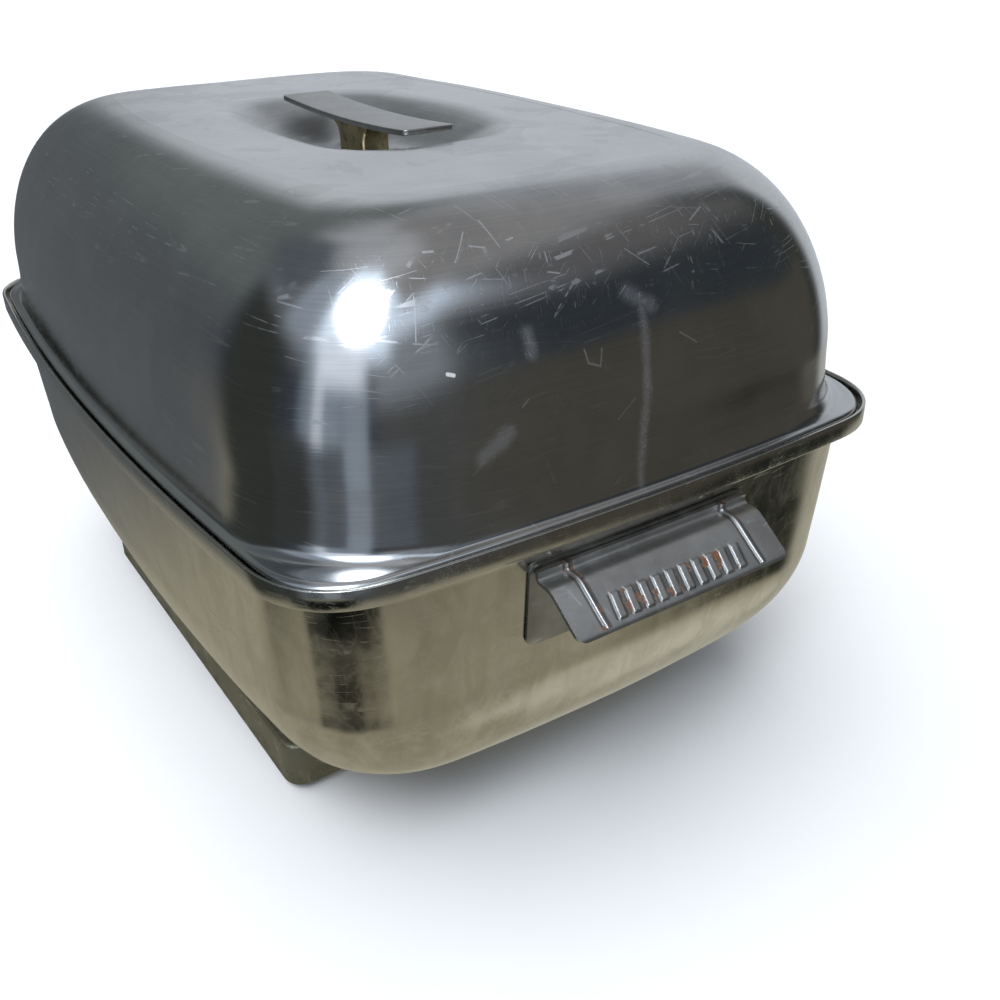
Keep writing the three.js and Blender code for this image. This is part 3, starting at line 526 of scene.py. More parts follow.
def grip_neck():
    """The brass-toned stem: a soft rectangular column, narrow at the foot and swept out under the plate."""
    foot, flare, half_width = STEM["half_foot"], STEM["flare"], STEM["half_width"]
    base = LID["rise"] - DISH["depth"] + 0.2
    under = GRIP["top"] - GRIP["thickness"] - 0.15
    tip = under + grip_sag(flare) - STEM["tip"]
    start, lift, pull, end = [np.array(p) for p in ((foot - 0.3, base + 6), (foot, tip - 2.6),
                                                    (foot + 4.5, tip - 0.7), (flare, tip))]
    sides = [(foot * 0.05, base), (foot - 1.0, base), (foot - 0.2, base + 0.3), (foot, base + 0.9),
             (foot - 0.3, base + 1.6)]
    for t in np.linspace(0, 1, 28):
        sides.append(start * (1 - t) ** 3 + 3 * lift * t * (1 - t) ** 2
                     + 3 * pull * t ** 2 * (1 - t) + end * t ** 3)
    sides.append((flare, tip + STEM["tip"] * 0.9))
    rings = []
    for half, height in sides:
        ring = outline_ring((half, half_width * min(1, 0.06 + half / 4)), min(1.6, half * 0.8))
        spread = clamp((half - foot - 2) / 8)
        rise = [height + spread * (grip_sag(x) - grip_sag(half)) for x, _ in ring]
        rings.append(np.column_stack([ring, np.array(rise) + LIP_TOP]))
    return skin("grip_neck", rings)


# ------------------------------------------------------------------ tray and rack

TRAY_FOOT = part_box("drip_tray")[0].z / MM


def tray_body():
    """A pressed tray: rolled rim, sloping wall, a channel round the floor and four hollow feet."""
    foot, deep, sheet, full = TRAY["foot"], TRAY["depth"], TRAY["sheet"], TRAY["corner"]
    floor = [(60, 0.6, 10, 0.02), (60, 0.6, 10, 0.6), (40, 0.5, 12, 1), (18, 0, 18, 1), (12, 0, 20, 1),
             (9.5, 0.6, 21, 1), (8, 2.5, 22, 1), (5, deep - 2.5, 23.5, 1), (4.2, deep - 1.2, 24, 1)]
    rim = [(3.2, deep - 0.9, 24, 1), (1.2, deep - 1.0, 24.5, 1), (0.2, deep - 0.7, full, 1),
           (0, deep - 0.35, full, 1), (0.3, deep, full, 1), (1.5, deep + 0.1, 24.5, 1),
           (3.6, deep + 0.05, 24, 1), (5.0, deep - 0.8, 23.5, 1)]
    inner = [(i + sheet * 0.8, h + sheet * 0.9, c, s) for i, h, c, s in reversed(floor[:-1])]
    sections = smooth_sections(floor, 3) + rim + smooth_sections(inner, 3)
    shell = drawn_shell("tray_shell", TRAY, sections, TRAY_FOOT + foot)
    profile = [(0.05, 0), (3.5, 0), (4.8, 0.35), (5.6, 1.2),
               (7, foot + 0.4), (6, foot + 0.6), (0.05, foot + 0.6)]
    foot_x, foot_y = TRAY["half"][0] - 40, TRAY["half"][1] - 35
    feet = [lathe("tray_foot", profile, 32, place=(sx * foot_x, sy * foot_y, TRAY_FOOT))
            for sx, sy in CORNER_SIGNS[:4]]
    return merge("tray_body", shell, *feet)


def rack_wires():
    """The welded rack: frame, runners and cross bars with their ends laid on the frame; rack_leg makes its four
    legs.
    """
    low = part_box("rack_leg_1")[0].z / MM
    centre = low + RACK["leg"]
    (half_x, half_y), r = RACK["half"], RACK["frame"]
    ring = outline_ring((half_x - r, half_y - r), RACK["corner"])
    pieces = [wire("frame_wire", ring_at(ring, centre), r, 16, closed=True)]
    rail_y = middle_of(*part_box("rack_leg_1"))[1]
    for sign in (-1, 1):
        rail = [(x, sign * rail_y, centre) for x in np.linspace(r - half_x, half_x - r, 9)]
        pieces.append(wire("runner", rail, r, 16))
    span = half_x - RACK["corner"]
    for x in np.linspace(-span, span, RACK["bars"]):
        ends = half_y - r
        sag = [(x, y, centre + r + RACK["bar"] * 0.7) for y in np.linspace(-ends, ends, 9)]
        pieces.append(wire("cross_bar", sag, RACK["bar"], 12))
    return merge("rack_wires", *pieces)


def rack_leg(index):
    low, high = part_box(f"rack_leg_{index}")
    radius = (high.x - low.x) / 2 / MM
    place = (*middle_of(low, high)[:2], low.z / MM)
    tall = (high.z - low.z) / MM
    profile = [(0.02, 0), (radius * 0.4, 0.1), (radius * 0.8, 0.7), (radius, 1.8),
               (radius, tall), (0.02, tall)]
    return lathe(f"rack_foot_{index}", profile, 24, place=place)


# ------------------------------------------------------------------ base

def housing_body():
    """The folded base: soft outer edges, a flange round the top, and holes for inlet, thermostat and lamp."""
    half, corner, tall, flange = BASE["half"], BASE["corner"], BASE["height"], BASE["flange"]
    fold = 1.8
    outer = [(0.35, 0, corner, 1), (0, 0.35, corner, 1), (0, tall * 0.5, corner, 1)]
    outer += [(fold * (1 - math.cos(a)), tall - fold + fold * math.sin(a), corner, 1)
              for a in np.radians(range(0, 91, 15))]
    top = [(flange - 0.3, tall, corner, 1), (flange, tall - 0.3, corner, 1),
           (flange, tall - SHEET, corner, 1)]
    inner = [(SHEET + 1, tall - SHEET, corner, 1), (SHEET, tall - SHEET - 1, corner - SHEET, 1),
             (SHEET, 0, corner - SHEET, 1)]
    rings = []
    for inset, height, radius, shrink in outer + top + inner:
        ring = outline_ring(half, radius, inset=inset, shrink=shrink)
        rings.append(ring_at(ring, BASE_FOOT + height))
    obj = skin("housing_body", rings, closed=True)
    inlet_low, inlet_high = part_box("inlet_socket")
    inlet_z = middle_of(inlet_low, inlet_high)[2]
    slot = [(y, z + inlet_z) for y, z in outline_ring((inlet_high.y / MM - 1.7, 7.3), 1.5)]
    cutters = [extruded("inlet_cutter", slot, -half[0] - 3, -half[0] + 4, "YZ")]
    for node, radius in (("thermostat_shaft", 4.8), ("pilot_lamp", 3.9)):
        x, _, z = middle_of(*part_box(node))
        place = (x, half[1] - 5, z)
        cutters.append(lathe("hole_cutter", [(radius, 0), (radius, 9)], 48, "Y", place))
    return cut_out(obj, *cutters)


def heater_plate():
    """The cast heater plate: a raised pad with shallow turned grooves and a lap under the flange."""
    low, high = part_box("hot_plate")
    half = (high.x / MM, high.y / MM)
    bottom, top = low.z / MM, high.z / MM
    thick = 1.5
    corner, groove = 9, 0.35
    underside = [(9, top - thick), (8.6, bottom + 1), (8.6, bottom)]
    lap = [(0.3, bottom), (0, bottom + 0.3),
           (0, bottom + thick - 0.3), (0.3, bottom + thick), (7.2, bottom + thick)]
    pad = [(7.2, top - 0.6), (7.8, top)]
    for inset in (20, 34, 48, 62, 76, 90):
        pad += [(inset, top), (inset + 0.4, top - groove), (inset + 1.2, top - groove), (inset + 1.6, top)]
    sections = [(40, top - thick, corner, 0.03), (40, top - thick, corner, 1)]
    sections += [(inset, height, corner, 1) for inset, height in underside + lap + pad]
    sections.append((100, top, 4, 0.02))
    return drawn_shell("heater_plate", {"half": half}, sections, 0, crease=30.0)


def base_foot(index):
    """A turned rubber foot with a bore for its screw."""
    low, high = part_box(f"foot_{index}")
    radius, tall = (high.x - low.x) / 2 / MM, (high.z - low.z) / MM
    x, y, _ = middle_of(low, high)
    profile = [(2.6, 2.0), (4.3, 2.0), (4.3, 0.25), (4.6, 0), (radius - 1.1, 0), (radius - 0.5, 0.15),
               (radius - 0.15, 0.5), (radius, 1.1), (radius - 0.3, tall - 0.4), (radius - 0.6, tall),
               (2.6, tall)]
    rings = []
    for r, z in profile:
        rings.append([(r * math.cos(a) + x, r * math.sin(a) + y, z + low.z / MM)
                      for a in np.linspace(0, 2 * math.pi, 48, endpoint=False)])
    return skin(f"rubber_foot_{index}", rings, closed=True)


def knob_body():
    """A moulded knob: skirt, fluted grip, dished face and a raised pointer."""
    low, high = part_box("control_knob")
    x, _, z = middle_of(low, high)
    place = (x, low.y / MM, z)
    radius, tall = KNOB["radius"], KNOB["thickness"]

    def flute(angle, height):
        return 1 - 0.035 * (1 - math.cos(18 * angle)) if 2.6 < height < tall - 0.3 else 1.0

    skirt = [(3.3, 0.2), (radius - 0.4, 0), (radius, 0.4), (radius, 2.2), (radius - 0.5, 2.6)]
    grip = [(radius - 1.4, 3.2), (radius - 1.8, 6), (radius - 2.0, tall - 1.4), (radius - 2.5, tall - 0.4)]
    face = [(radius - 3.2, tall), (radius - 4.2, tall - 0.1), (2.5, tall - 0.4), (0.02, tall - 0.4)]
    profile = skirt + grip + face
    body = lathe("knob_turned", profile, 144, "Y", place, crease=50.0, flute=flute)
    pointer = extruded("knob_pointer", [(-0.6, 1.2), (0.6, 1.2), (0.6, radius - 2.6), (-0.6, radius - 2.6)],
                       place[1] + tall - 1, place[1] + tall + 0.8, "XZ")
    for vertex in pointer.data.vertices:
        vertex.co.x += place[0] * MM
        vertex.co.z += place[2] * MM
    bevel(pointer, 0.25, segments=2)
    applied(pointer)
    return body, pointer


def dial_marks():
    """Plain printed ticks on the housing wall round the knob."""
    cx, _, cz = middle_of(*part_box("control_knob"))
    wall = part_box("base_housing")[1].y / MM
    ticks = []
    for i in range(10):
        angle = math.radians(-45 + 30 * i)
        out = np.array([math.cos(angle), math.sin(angle)])
        side = np.array([-out[1], out[0]])
        inner, outer = (9.9, 10.6) if abs(out[1]) > 0.85 else (10.4, 12.2)
        corners = [out * r + side * w
                   for r, w in ((inner, -0.25), (outer, -0.25), (outer, 0.25), (inner, 0.25))]
        shape = [(cx + c[0], cz + c[1]) for c in corners]
        ticks.append(extruded("tick", shape, wall - 0.05, wall + 0.06, "XZ"))
    return merge("dial_marks", *ticks)


def lens_dome():
    """The pilot lamp's domed lens on its short collar."""
    low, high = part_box("pilot_lens")
    x, _, z = middle_of(low, high)
    place = (x, low.y / MM, z)
    radius = (high.x - low.x) / 2 / MM
    profile = [(0.02, 0), (radius - 0.2, 0), (radius, 0.25), (radius, 0.9), (radius - 0.4, 1.2)]
    profile += [((radius - 0.7) * math.cos(a), 1.2 + 2.2 * math.sin(a)) for a in np.radians(range(0, 90, 12))]
    return lathe("lens_dome", profile + [(0.02, 3.4)], 48, "Y", place)


# ------------------------------------------------------------------ material tools

def linear(red, green, blue):
    """An 8-bit display colour as the linear colour that a shader takes."""
    channels = [c / 3295 if c <= 10 else ((c / 255 + 0.055) / 1.055) ** 2.4 for c in (red, green, blue)]
    return (*channels, 1.0)


class Paint:
    """A material being made. Each call adds nodes and returns the socket that carries its result."""

    def __init__(self, name, metallic=0.0, roughness=0.4, **constants):
        self.material = bpy.data.materials.new(name)
        self.material.use_nodes = True
        self.tree = self.material.node_tree
        self.shader = self.tree.nodes["Principled BSDF"]
        self.shader.inputs["Metallic"].default_value = metallic
        self.shader.inputs["Roughness"].default_value = roughness
        for socket, number in constants.items():
            self.shader.inputs[socket.replace("_", " ").title()].default_value = number
        self.place = self.scaled(self.node("ShaderNodeTexCoord").outputs["Object"], 1000)
        self.x, self.y, self.z = self.node("ShaderNodeSeparateXYZ", {0: self.place}).outputs

    def node(self, kind, inputs=None, **settings):
        """A new node, with what goes into its sockets by their names or numbers."""
        made = self.tree.nodes.new(kind)
        for key, value in settings.items():
            setattr(made, key, value)
        for socket, source in (inputs or {}).items():
            self.feed(made.inputs[socket], source)
        return made

    def feed(self, socket, source):
        """Links a socket to another socket's result, or sets it to a number or colour."""
        if isinstance(source, bpy.types.NodeSocket):
            self.tree.links.new(source, socket)
        else:
            socket.default_value = source

    def math(self, operation, a, b=0.0, clamped=False):
        return self.node("ShaderNodeMath", {0: a, 1: b}, operation=operation, use_clamp=clamped).outputs[0]

    def vector(self, operation, a, b=(0, 0, 0)):
        """The result of a vector operation, which is a number for a dot product or a distance."""
        made = self.node("ShaderNodeVectorMath", {0: a, 1: b}, operation=operation)
        return made.outputs["Value" if operation in ("DOT_PRODUCT", "DISTANCE") else "Vector"]

    def scaled(self, vector, factor):
        return self.node("ShaderNodeVectorMath", {0: vector, "Scale": factor}, operation="SCALE").outputs[0]

    def stretched(self, lengths, turn=(0, 0, 0)):
        """Millimetre coordinates turned by degrees, in which a unit is `lengths` long on each turned axis."""
        inputs = {"Vector": self.place, "Rotation": [math.radians(t) for t in turn], "Scale": lengths}
        return self.node("ShaderNodeMapping", inputs, vector_type="TEXTURE").outputs[0]

    def clouds(self, size, detail=3.0, rough=0.5, distortion=0.0, shift=0.0):
        """Soft noise from 0 to 1 whose blotches are about `size` mm, or (x, y, z) mm."""
        place = self.stretched(size if isinstance(size, tuple) else (size,) * 3)
        inputs = {"Vector": place, "W": shift, "Scale": 1.0, "Detail": detail, "Roughness": rough,
                  "Distortion": distortion}
        return self.node("ShaderNodeTexNoise", inputs, noise_dimensions="4D").outputs["Fac"]

    def fade(self, value, low, high):
        """0 below `low` and 1 above `high`, smooth between. It falls instead where low is over high."""
        start, end = (0, 1) if low < high else (1, 0)
        inputs = {"Value": value, "From Min": min(low, high), "From Max": max(low, high), "To Min": start,
                  "To Max": end}
        return self.node("ShaderNodeMapRange", inputs, interpolation_type="SMOOTHSTEP").outputs["Result"]

    def band(self, value, low, high, soft):
        """1 between low and high, and 0 outside them."""
        rising, falling = self.fade(value, low - soft, low + soft), self.fade(value, high + soft, high - soft)
        return self.math("MULTIPLY", rising, falling)

    def blend(self, share, a, b):
        """Colour a where `share` is 0, and colour b where it is 1."""
        return self.node("ShaderNodeMix", {0: share, 6: a, 7: b}, data_type="RGBA").outputs[2]

    def layered(self, colour, *layers):
        """Lays tints over a colour, each given as (mask, strength, tint)."""
        for mask, strength, tint in layers:
            colour = self.blend(self.both(mask, strength), colour, tint)
        return colour

    def oval(self, half_x, half_y):
        """1 in the middle, seen from above, falling to 0 at the oval's edge."""
        across = [self.math("POWER", self.math("DIVIDE", place, half), 2)
                  for place, half in ((self.x, half_x), (self.y, half_y))]
        return self.fade(self.math("ADD", *across), 1.15, 0.6)

    def away_from(self, value, level):
        """How far a value is from a level, either way."""
        return self.math("ABSOLUTE", self.math("SUBTRACT", value, level))

    def both(self, *masks):
        """The product of masks, which is 1 only where all of them are."""
        out = masks[0]
        for mask in masks[1:]:
            out = self.math("MULTIPLY", out, mask)
        return out

    def either(self, *masks):
        """The strongest of several masks."""
        out = masks[0]
        for mask in masks[1:]:
            out = self.math("MAXIMUM", out, mask)
        return out

    def sum(self, *terms):
        """Adds (socket, weight) pairs and plain numbers."""
        out = None
        for term in terms:
            value = self.math("MULTIPLY", *term) if isinstance(term, tuple) else term
            out = value if out is None else self.math("ADD", out, value)
        return out

    def scratches(self, azimuth, elevation, shift, pitch=4.0, length=150.0, width=0.022, patch=14, share=0.5,
                  thin="YZ"):
        """Hairlines that run in one direction, `pitch` mm apart, and show in cloudy patches only.

        They are lines in space where both turned axes in `thin` are fine. With one fine axis they are sheets,
        which draw straight lines on any surface that crosses them.
        """
        lengths = [pitch if axis in thin else length for axis in "XYZ"]
        place = self.stretched(lengths, (0, -elevation, azimuth))
        inputs = {"Vector": place, "W": shift, "Scale": 1.0, "Detail": 0.0}
        made = self.node("ShaderNodeTexNoise", inputs, noise_dimensions="4D")
        away = self.away_from(made.outputs["Fac"], 0.5)
        where = self.clouds(patch, 2, 0.6, shift=shift + 3)
        return self.both(self.fade(away, width, width * 0.2), self.fade(where, 1.02 - share, 1.1 - share))

    def flecks(self, size, spacing, share, shift=0.0):
        """Sparse round specks up to `size` mm across."""
        inputs = {"Vector": self.stretched((spacing,) * 3), "Scale": 1.0, "W": shift}
        distance = self.node("ShaderNodeTexVoronoi", inputs, voronoi_dimensions="4D").outputs["Distance"]
        near = self.fade(distance, size / spacing, size / spacing * 0.4)
        where = self.clouds(spacing * 1.5, 2, shift=shift + 7)
        return self.both(near, self.fade(where, 1 - share, 1.06 - share))

    def flat_place(self):
        """Millimetre coordinates with X left out, for marks that are seen end on."""
        return self.vector("MULTIPLY", self.place, (0, 1, 1))

    def mark(self, place, start, end, width, ragged=0.0, soft=0.45):
        """One stroke between two places, with soft and slightly uneven sides."""
        start, end = np.array(start, float), np.array(end, float)
        stroke = end - start
        gone = self.vector("SUBTRACT", place, start)
        share = self.math("ADD", self.vector("DOT_PRODUCT", gone, stroke / stroke.dot(stroke)), 0, clamped=True)
        distance = self.vector("DISTANCE", gone, self.scaled(stroke, share))
        if ragged:
            distance = self.sum(distance, (self.clouds(width * 2, 3), ragged), -ragged / 2)
        return self.fade(distance, width, width * soft)

    def relief(self, height, depth, strength=1.0):
        """Bumps the surface by a height of up to `depth` mm."""
        inputs = {"Strength": strength, "Distance": depth * MM, "Height": height}
        self.feed(self.shader.inputs["Normal"], self.node("ShaderNodeBump", inputs).outputs["Normal"])

    def finish(self, colour=None, roughness=None):
        if colour is not None:
            self.feed(self.shader.inputs["Base Color"], colour)
        if roughness is not None:
            self.feed(self.shader.inputs["Roughness"], roughness)
        return self.material


# ------------------------------------------------------------------ materials

# strokes worn into the near end of the lid, each from one (y, rise) to another, with its width
END_MARKS = (
    ((-46, 98), (-44, 91), 0.35), ((-40.2, 92.3), (-37.6, 92.6), 0.4), ((-71, 92.8), (-67.5, 92.6), 0.45),
    ((-54.6, 92.5), (-49.2, 91.4), 0.35), ((-30, 82), (-25.7, 81), 0.35), ((19, 54.6), (26.5, 49.6), 0.4),
    ((-51.4, 43.6), (-48.7, 45.8), 0.35), ((-23.8, 57), (-22.9, 52.3), 0.5),
    ((-22.9, 52.3), (-18.1, 50.4), 0.55), ((-18.1, 50.4), (-16.5, 56), 0.45),
    ((-62, 89), (-54, 96), 0.25), ((4, 84), (12, 78), 0.25), ((-84, 70), (-80, 82), 0.25),
    ((38, 88), (46, 91), 0.3), ((-12, 30), (-4, 36), 0.22),
)
CHIP = ((-76.5, 59.4), (-74.4, 58.7), 0.85)
DRIP = ((4, 68), (-1.5, 2), 3.4)
SMUDGES = (((-44.9, 66), (-44.6, 60), 4.0), ((-1.0, 71), (7.4, 66), 5.0), ((-68, 30), (-58, 36), 5.0))


def lid_steel():
    """Polished drawn steel, cloudy with age: brushed round its walls and scratched along its shoulder."""
    p = Paint("lid_steel", metallic=1.0)
    shoulder = p.band(p.z, LIP_TOP + 66, LIP_TOP + 99, 10)
    top, walls = p.fade(p.z, LIP_TOP + 90, LIP_TOP + 103), p.fade(p.z, LIP_TOP + 100, LIP_TOP + 86)
    middle = p.fade(p.math("ABSOLUTE", p.y), 112, 90)
    mottle, haze = p.clouds(34, 5, 0.6, 0.4), p.clouds(9, 4, 0.6, shift=2)
    pools = p.clouds(30, 3, 0.5, 0.8, shift=5)
    stain = p.both(p.either(p.fade(pools, 0.55, 0.59), p.fade(p.away_from(pools, 0.56), 0.018, 0.004)), top)
    brushed = p.clouds((46, 46, 0.45), 3, 0.6)
    fine = {"pitch": 3, "length": 120, "width": 0.014, "patch": 9, "thin": "Z"}
    nick = {"pitch": 1.3, "length": 70, "width": 0.016, "patch": 5, "thin": "Z"}
    level = p.either(p.scratches(90, 7, 1, thin="Z"), p.scratches(90, -9, 4, 5, thin="Z"))
    steep = p.either(p.scratches(90, 34, 8, **fine), p.scratches(90, -62, 12, **fine))
    loose = p.either(p.scratches(22, 0, 22, 5, thin="Y"), p.scratches(100, 0, 74, 5, thin="Y"))
    hairs = p.either(p.both(level, walls), p.both(steep, walls, middle), p.both(loose, top))
    short = p.both(p.either(p.scratches(90, 78, 31, **nick), p.flecks(0.5, 7, 0.4, 3)), middle, walls)
    wear = p.either(p.both(hairs, p.sum((shoulder, 0.6), 0.35)), p.both(short, shoulder))
    near_end, flat = p.fade(p.x, 150, 160), p.flat_place()

    def end_mark(start, end, width, ragged=0.0, soft=0.45):
        """A stroke on the lid's near end between two (y, rise) places."""
        places = [(0, y, LIP_TOP + rise) for y, rise in (start, end)]
        return p.both(p.mark(flat, *places, width, ragged, soft), near_end)

    wear = p.either(wear, *[end_mark(*stroke) for stroke in END_MARKS])
    film = p.either(end_mark(*DRIP, 2.4, 0.0), *[end_mark(*smudge, 4.0, 0.0) for smudge in SMUDGES])
    chip = end_mark(*CHIP)
    dish = p.both(p.oval(84, 56), p.fade(p.z, LIP_TOP + 74, LIP_TOP + 86))
    colour = p.layered(
        p.blend(p.fade(mottle, 0.35, 0.7), (0.52, 0.52, 0.52, 1), (0.61, 0.605, 0.595, 1)),
        (stain, 0.17, (0.36, 0.365, 0.37, 1)),
        (p.fade(brushed, 0.42, 0.62), 0.25, (0.70, 0.70, 0.69, 1)),
        (film, 0.25, (0.66, 0.70, 0.80, 1)),
        (wear, 0.5, (0.85, 0.85, 0.85, 1)),
        (chip, 1.0, (0.82, 0.83, 0.83, 1)))
    p.feed(p.shader.inputs["Metallic"], p.sum(1.0, (film, -0.06), (chip, -0.6)))
    roughness = p.sum(0.06, (mottle, 0.06), (haze, 0.05), (brushed, 0.05), (stain, 0.04), (top, 0.06),
                      (dish, 0.2), (wear, 0.28), (film, 0.09), (chip, 0.3))
    p.relief(p.sum((brushed, 0.9), (haze, 0.3), (p.clouds(16, 2, shift=9), 1.1)), 0.05, 0.3)
    return p.finish(colour, roughness)


def pan_steel():
    """The pan's steel, warmed and clouded by heat, with runs and water stains down its walls."""
    p = Paint("pan_steel", metallic=1.0)
    blotch = p.clouds((17, 17, 24), 6, 0.62, 0.9)
    runs = p.clouds((8, 8, 50), 4, 0.55, 0.3, shift=4)
    fine = p.clouds((2.2, 2.2, 5), 4, 0.6, shift=6)
    edge = p.fade(p.away_from(p.clouds((18, 18, 30), 5, 0.6, 1.4, shift=8), 0.5), 0.03, 0.0)
    rim = p.fade(p.z, LIP_TOP - LIP["height"] - 1.5, LIP_TOP - LIP["height"])
    hairs = p.either(p.scratches(90, 8, 2, 5, thin="Z"), p.scratches(0, -7, 5, 6, thin="Z"),
                     p.scratches(90, 55, 13, width=0.012, share=0.35, thin="Z"))
    rub = {"pitch": 1.2, "length": 40, "width": 0.04, "patch": 9}
    rim_wear = p.both(rim, p.either(p.scratches(80, 0, 7, **rub), p.scratches(10, 0, 11, **rub)))
    worn = p.either(p.both(hairs, 0.6), p.both(rim_wear, 0.7))
    specks = p.flecks(0.6, 9, 0.4, 5)
    colour = p.layered(
        p.blend(p.fade(blotch, 0.38, 0.64), (0.50, 0.475, 0.405, 1), (0.64, 0.615, 0.54, 1)),
        (p.fade(runs, 0.5, 0.7), 0.4, (0.42, 0.40, 0.335, 1)),
        (edge, 0.2, (0.72, 0.70, 0.62, 1)),
        (rim, 0.6, (0.52, 0.515, 0.49, 1)),
        (worn, 0.5, (0.82, 0.81, 0.78, 1)),
        (specks, 0.85, (0.08, 0.07, 0.055, 1)))
    roughness = p.sum(0.07, (p.fade(blotch, 0.3, 0.7), 0.11), (runs, 0.04), (fine, 0.05), (edge, 0.04),
                      (worn, 0.2))
    p.relief(p.sum((blotch, 0.7), (fine, 0.2), (worn, -0.4), (p.clouds(13, 2, shift=12), 1.1)), 0.05, 0.3)
    return p.finish(colour, roughness)


def satin(name, dark, light, dull=0.3):
    """Tumbled satin steel for small pressed parts."""
    p = Paint(name, metallic=1.0)
    cloud, grain = p.clouds(12, 5, 0.6), p.clouds(0.7, 3, 0.6, shift=2)
    worn = p.either(p.scratches(80, 8, 1, 2.5, 60, patch=9), p.scratches(15, -30, 4, 3, 60, patch=9))
    colour = p.layered(p.blend(p.fade(cloud, 0.3, 0.7), dark, light), (worn, 0.45, (0.7, 0.7, 0.7, 1)))
    p.relief(p.sum((grain, 0.5), (cloud, 0.6), (worn, -0.4)), 0.03, 0.4)
    roughness = p.sum(dull, (cloud, 0.12), (grain, 0.08), (worn, 0.12))
    return p, colour, roughness


def satin_steel():
    """The plain satin steel of the grip, the plates and the fixings."""
    p, colour, roughness = satin("satin_steel", (0.34, 0.335, 0.32, 1), (0.47, 0.465, 0.45, 1), 0.24)
    return p.finish(colour, roughness)


def rusty_steel():
    """The handles' steel, with rust along the feet of the ribs and bars, and painted shade darkening those
    feet.
    """
    p, colour, roughness = satin("rusty_steel", (0.46, 0.455, 0.44, 1), (0.60, 0.595, 0.58, 1), 0.31)
    crease = p.node("ShaderNodeAttribute", attribute_name="crease").outputs["Fac"]
    bloom = p.both(p.fade(crease, 0.05, 0.5), p.fade(p.clouds(8, 5, 0.7, shift=3), 0.48, 0.64))
    rust = p.fade(p.sum((bloom, 1.0), (p.clouds(1.6, 4, 0.7, shift=5), 0.7)), 0.62, 0.95)
    halo = p.fade(p.sum((bloom, 0.9), (p.clouds(3, 4, 0.7, shift=7), 0.4)), 0.3, 0.9)
    rusty = p.blend(p.clouds(1.4, 4, 0.7, shift=9), linear(64, 37, 23), linear(122, 76, 46))
    colour = p.layered(
        colour,
        # painted shade: the feet of the ribs and bars darkened where shade falls
        (p.fade(crease, 0.1, 0.7), 0.6, (0.07, 0.065, 0.06, 1)),
        (halo, 0.4, linear(128, 104, 82)),
        (rust, 0.9, rusty))
    p.feed(p.shader.inputs["Metallic"], p.fade(rust, 0.7, 0.1))
    return p.finish(colour, p.sum(roughness, (rust, 0.4)))


def brass_stem():
    """Brass-toned metal, tarnished in clouds and streaks."""
    p = Paint("brass_stem", metallic=1.0)
    cloud, streak = p.clouds(5, 5, 0.65), p.clouds((0.8, 0.8, 7), 3, 0.6, shift=3)
    tarnish = p.fade(p.sum((cloud, 0.7), (streak, 0.4)), 0.48, 0.72)
    colour = p.blend(tarnish, (0.47, 0.39, 0.215, 1), (0.17, 0.145, 0.09, 1))
    p.relief(p.sum((streak, 0.6), (cloud, 0.4)), 0.03, 0.4)
    return p.finish(colour, p.sum(0.24, (cloud, 0.14), (tarnish, 0.14)))


def base_steel():
    """Dull olive-grey plated sheet, darker and rougher in patches towards its foot."""
    p = Paint("base_steel", metallic=0.75)
    cloud, grain = p.clouds(28, 5, 0.6, 0.5), p.clouds(0.9, 3, 0.6, shift=2)
    # darker and rougher in cloudy patches over the lowest 14 mm of the base
    low_patches = p.both(p.fade(p.z, BASE_FOOT + 14, BASE_FOOT), p.fade(p.clouds(8, 4, 0.7, shift=5), 0.4, 0.7))
    worn = p.either(p.scratches(0, 8, 2, 5), p.scratches(40, 60, 6, 5, 60, patch=12))
    colour = p.layered(
        p.blend(p.fade(cloud, 0.3, 0.7), linear(112, 108, 88), linear(139, 135, 114)),
        (low_patches, 0.5, linear(70, 64, 48)),
        (worn, 0.5, linear(186, 184, 172)))
    p.relief(p.sum((grain, 0.5), (cloud, 0.5), (worn, -0.4)), 0.04, 0.4)
    return p.finish(colour, p.sum(0.34, (cloud, 0.16), (low_patches, 0.2), (grain, 0.06)))


def cast_plate():
    """Dark cast metal, grainy and scuffed by pans."""
    p = Paint("cast_plate", metallic=0.9)
    cloud, grain = p.clouds(22, 5, 0.6), p.clouds(1.1, 4, 0.7, shift=2)
    colour = p.layered(
        p.blend(p.fade(cloud, 0.3, 0.7), (0.06, 0.058, 0.055, 1), (0.15, 0.145, 0.14, 1)),
        (p.scratches(35, 0, 1, 5, patch=25), 0.5, (0.4, 0.39, 0.37, 1)))
    p.relief(grain, 0.12, 0.5)
    return p.finish(colour, p.sum(0.4, (cloud, 0.2), (grain, 0.12)))


def bright_wire():
    """Plated wire and sheet, smoked brown in patches."""
    p = Paint("bright_wire", metallic=1.0)
    cloud, grain = p.clouds(14, 4, 0.6), p.clouds(1.2, 3, 0.6, shift=4)
    soot = p.fade(p.clouds(9, 5, 0.7, shift=6), 0.52, 0.72)
    colour = p.layered(p.blend(cloud, (0.5, 0.5, 0.5, 1), (0.66, 0.66, 0.65, 1)),
                       (soot, 0.6, (0.16, 0.12, 0.08, 1)))
    p.relief(grain, 0.04, 0.4)
    return p.finish(colour, p.sum(0.14, (cloud, 0.14), (soot, 0.3)))


def sheath():
    """The element's sheath, blued and scaled by heat."""
    p = Paint("sheath", metallic=0.85)
    cloud, scale = p.clouds(11, 4, 0.6), p.clouds(1.5, 4, 0.7, shift=3)
    colour = p.blend(p.fade(cloud, 0.3, 0.7), (0.05, 0.055, 0.075, 1), (0.16, 0.12, 0.09, 1))
    p.relief(scale, 0.06, 0.5)
    return p.finish(colour, p.sum(0.4, (scale, 0.25)))


